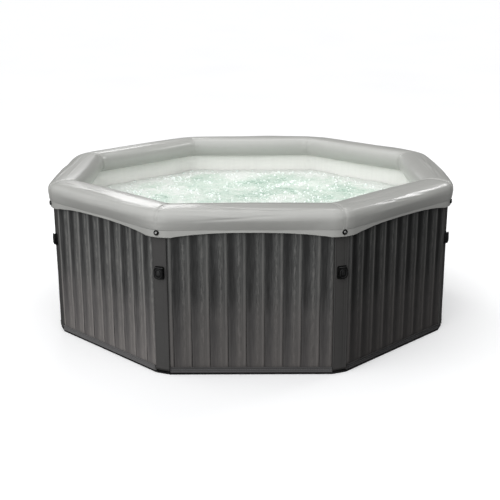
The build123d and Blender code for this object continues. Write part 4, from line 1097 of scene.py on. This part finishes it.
def water_height(points):
    """Boiling surface: broad swells, sharper chop, and mounds over the rising air."""
    broad = smooth_noise(points, 4.5, 21)
    chop = smooth_noise(points, 15.0, 22)
    fine = smooth_noise(points, 42.0, 23)
    return 0.55 * broad + 0.30 * (1 - 2 * np.abs(chop)) + 0.15 * (1 - 2 * np.abs(fine))


def make_water():
    samples = plan_samples(44, 8)
    apothems = np.concatenate([np.linspace(0.012, LINER - 0.012, 96), [LINER - 0.0065]])
    rows = [level_ring(samples, a, min(LINER_CORNER, a * 0.9), 0.0) for a in apothems]
    rows = np.array(rows)
    count, cols = rows.shape[:2]
    flat = rows.reshape(-1, 3)
    lift = water_height(flat)
    surface = flat.copy()
    surface[:, 2] = WATER_Z + WAVE_HEIGHT * lift
    under = rows[-1].copy()
    under[:, 2] = WATER_Z - 0.04
    verts = np.vstack([surface, under])
    faces = [face[::-1] for face in grid_faces(count, cols, close_cols=True)]
    last = (count - 1) * cols
    low = count * cols
    faces.extend([[last + j, low + j, low + (j + 1) % cols, last + (j + 1) % cols] for j in range(cols)])
    faces.append(list(range(cols)))
    faces.append([low + j for j in range(cols)][::-1])
    water = mesh_object("water", verts, faces)
    to_wall = np.repeat(LINER - apothems, cols)
    put_value(water, "crest", np.concatenate([lift + 0.9 * bump_at(to_wall, 0, 0.16), np.zeros(cols)]))
    finish_piece(water, "water")


def make_bubbles():
    """Bubbles that ride on the crests, thickest where the foam gathers."""
    rng = random.Random(5)
    verts, faces = lathe([(0, 1.0), (0.50, 0.87), (0.87, 0.50), (1.0, 0.0), (0.80, -0.4), (0, -0.5)], 9)
    verts = np.asarray(verts)
    places, sizes = [], []
    while len(places) < 2600:
        x, y = rng.uniform(-LINER, LINER), rng.uniform(-LINER, LINER)
        if max(abs(x), abs(y), (abs(x) + abs(y)) / math.sqrt(2)) > LINER - 0.03:
            continue
        cluster = noise.noise(Vector((x * 6.0, y * 6.0, 3.0)))
        cluster += 0.35 * noise.noise(Vector((x * 19.0, y * 19.0, 8.0)))
        if rng.random() > 0.18 + 1.5 * max(0.0, cluster):
            continue
        places.append((x, y, 0.0))
        sizes.append(0.0018 + 0.0062 * rng.random() ** 2.6)
    lift = water_height(np.array(places))
    parts = []
    for (x, y, _), size, rise in zip(places, sizes, lift):
        parts.append((verts * size + np.array([x, y, WATER_Z + WAVE_HEIGHT * rise]), faces))
    verts, faces = merge(parts)
    bubbles = mesh_object("foam_bubbles", verts, faces)
    finish_piece(bubbles, "foam_bubbles")


# ---------------------------------------------------------------- stage, light and camera
ROOM_LEVEL = 0.02
ROOM_LEAN = (-0.72, -1.17, 1.30)  # the room is brighter towards its left, its front and its ceiling
ROOM_LEAST = 0.05
FLOOR_GLOW = 0.17
LENS = 66.5
CAMERA_PLACE = (-0.005, -4.742, 1.674)
CAMERA_TURN, CAMERA_PITCH, CAMERA_ROLL = 0.13, 16.19, -0.25


def make_stage():
    """Pale floor that glows faintly. It sends no bounced light or reflection to the tub."""
    m = Nodes("floor")
    place = m.place()
    tone = m.noise(place, 0.6, 2.0)
    color = m.ramp(tone, [(0.3, (0.86, 0.86, 0.86)), (0.7, (0.89, 0.89, 0.89))])
    glow = {"emission_color": (1, 1, 1, 1), "emission_strength": FLOOR_GLOW}
    m.finish(color, 1.0, None, specular_ior_level=0.0, **glow)
    size = 400.0
    corners = [(-size, -size, 0), (size, -size, 0), (size, size, 0), (-size, size, 0)]
    floor = mesh_object("floor", corners, [(0, 1, 2, 3)])
    floor.data.materials.append(m.material)
    floor.visible_diffuse = False
    floor.visible_glossy = False


def area_light(name, place, aim, size, power, color=(1, 1, 1)):
    light = bpy.data.lights.new(name, "AREA")
    light.shape = "RECTANGLE"
    light.size, light.size_y = size
    light.energy = power
    light.color = color
    obj = bpy.data.objects.new(name, light)
    bpy.context.scene.collection.objects.link(obj)
    obj.location = place
    obj.rotation_euler = (Vector(aim) - Vector(place)).to_track_quat("-Z", "Y").to_euler()
    return obj


def make_lights():
    """White studio: a room brighter on its left, and softboxes behind that shine on the rim."""
    m = Nodes("studio", world=True)
    bpy.context.scene.world = m.material
    direction = m.add("TexCoord").outputs["Generated"]
    lean = m.add("VectorMath", {0: direction, 1: ROOM_LEAN}, operation="DOT_PRODUCT").outputs["Value"]
    level = m.math("MAXIMUM", m.math("ADD", lean, ROOM_LEVEL), ROOM_LEAST)
    fill = m.add("Background", {0: (0.985, 0.99, 1, 1), 1: level}).outputs[0]
    seen = m.add("Background", {0: (1, 1, 1, 1), 1: 1.0}).outputs[0]
    camera_ray = m.add("LightPath").outputs["Is Camera Ray"]
    m.put(m.out.inputs[0], m.add("MixShader", {0: camera_ray, 1: fill, 2: seen}).outputs[0])
    area_light("back_left", (-1.3, 3.7, 2.9), (0, 0, 0.7), (1.5, 1.0), 30)
    area_light("high", (0.0, 1.6, 4.4), (0, 0, 0.5), (3.2, 0.3), 20)
    area_light("back_right", (3.8, 2.0, 3.6), (0, 0, 0.7), (1.6, 0.6), 45)


def make_camera():
    data = bpy.data.cameras.new("camera")
    data.sensor_width = 36.0
    data.lens = LENS
    camera = bpy.data.objects.new("camera", data)
    bpy.context.scene.collection.objects.link(camera)
    turn = Matrix.Rotation(math.radians(CAMERA_TURN), 4, "Z")
    tilt = Matrix.Rotation(math.radians(90 - CAMERA_PITCH), 4, "X")
    roll = Matrix.Rotation(math.radians(CAMERA_ROLL), 4, "Z")
    camera.matrix_world = turn @ Matrix.Translation(CAMERA_PLACE) @ tilt @ roll
    bpy.context.scene.camera = camera
    bpy.context.scene.view_settings.view_transform = "Standard"


# ---------------------------------------------------------------- build
make_materials()
dress_cad_nodes()
make_rim()
make_rim_welds()
make_studs()
make_buckle_trim()
for side in range(1, SIDES + 1):
    make_panel(side)
    make_corner_strip(side)
    make_hem(side)
    make_hem_stitches(side)
make_base_mat()
make_liner()
make_water()
make_bubbles()
make_stage()
make_lights()
make_camera()
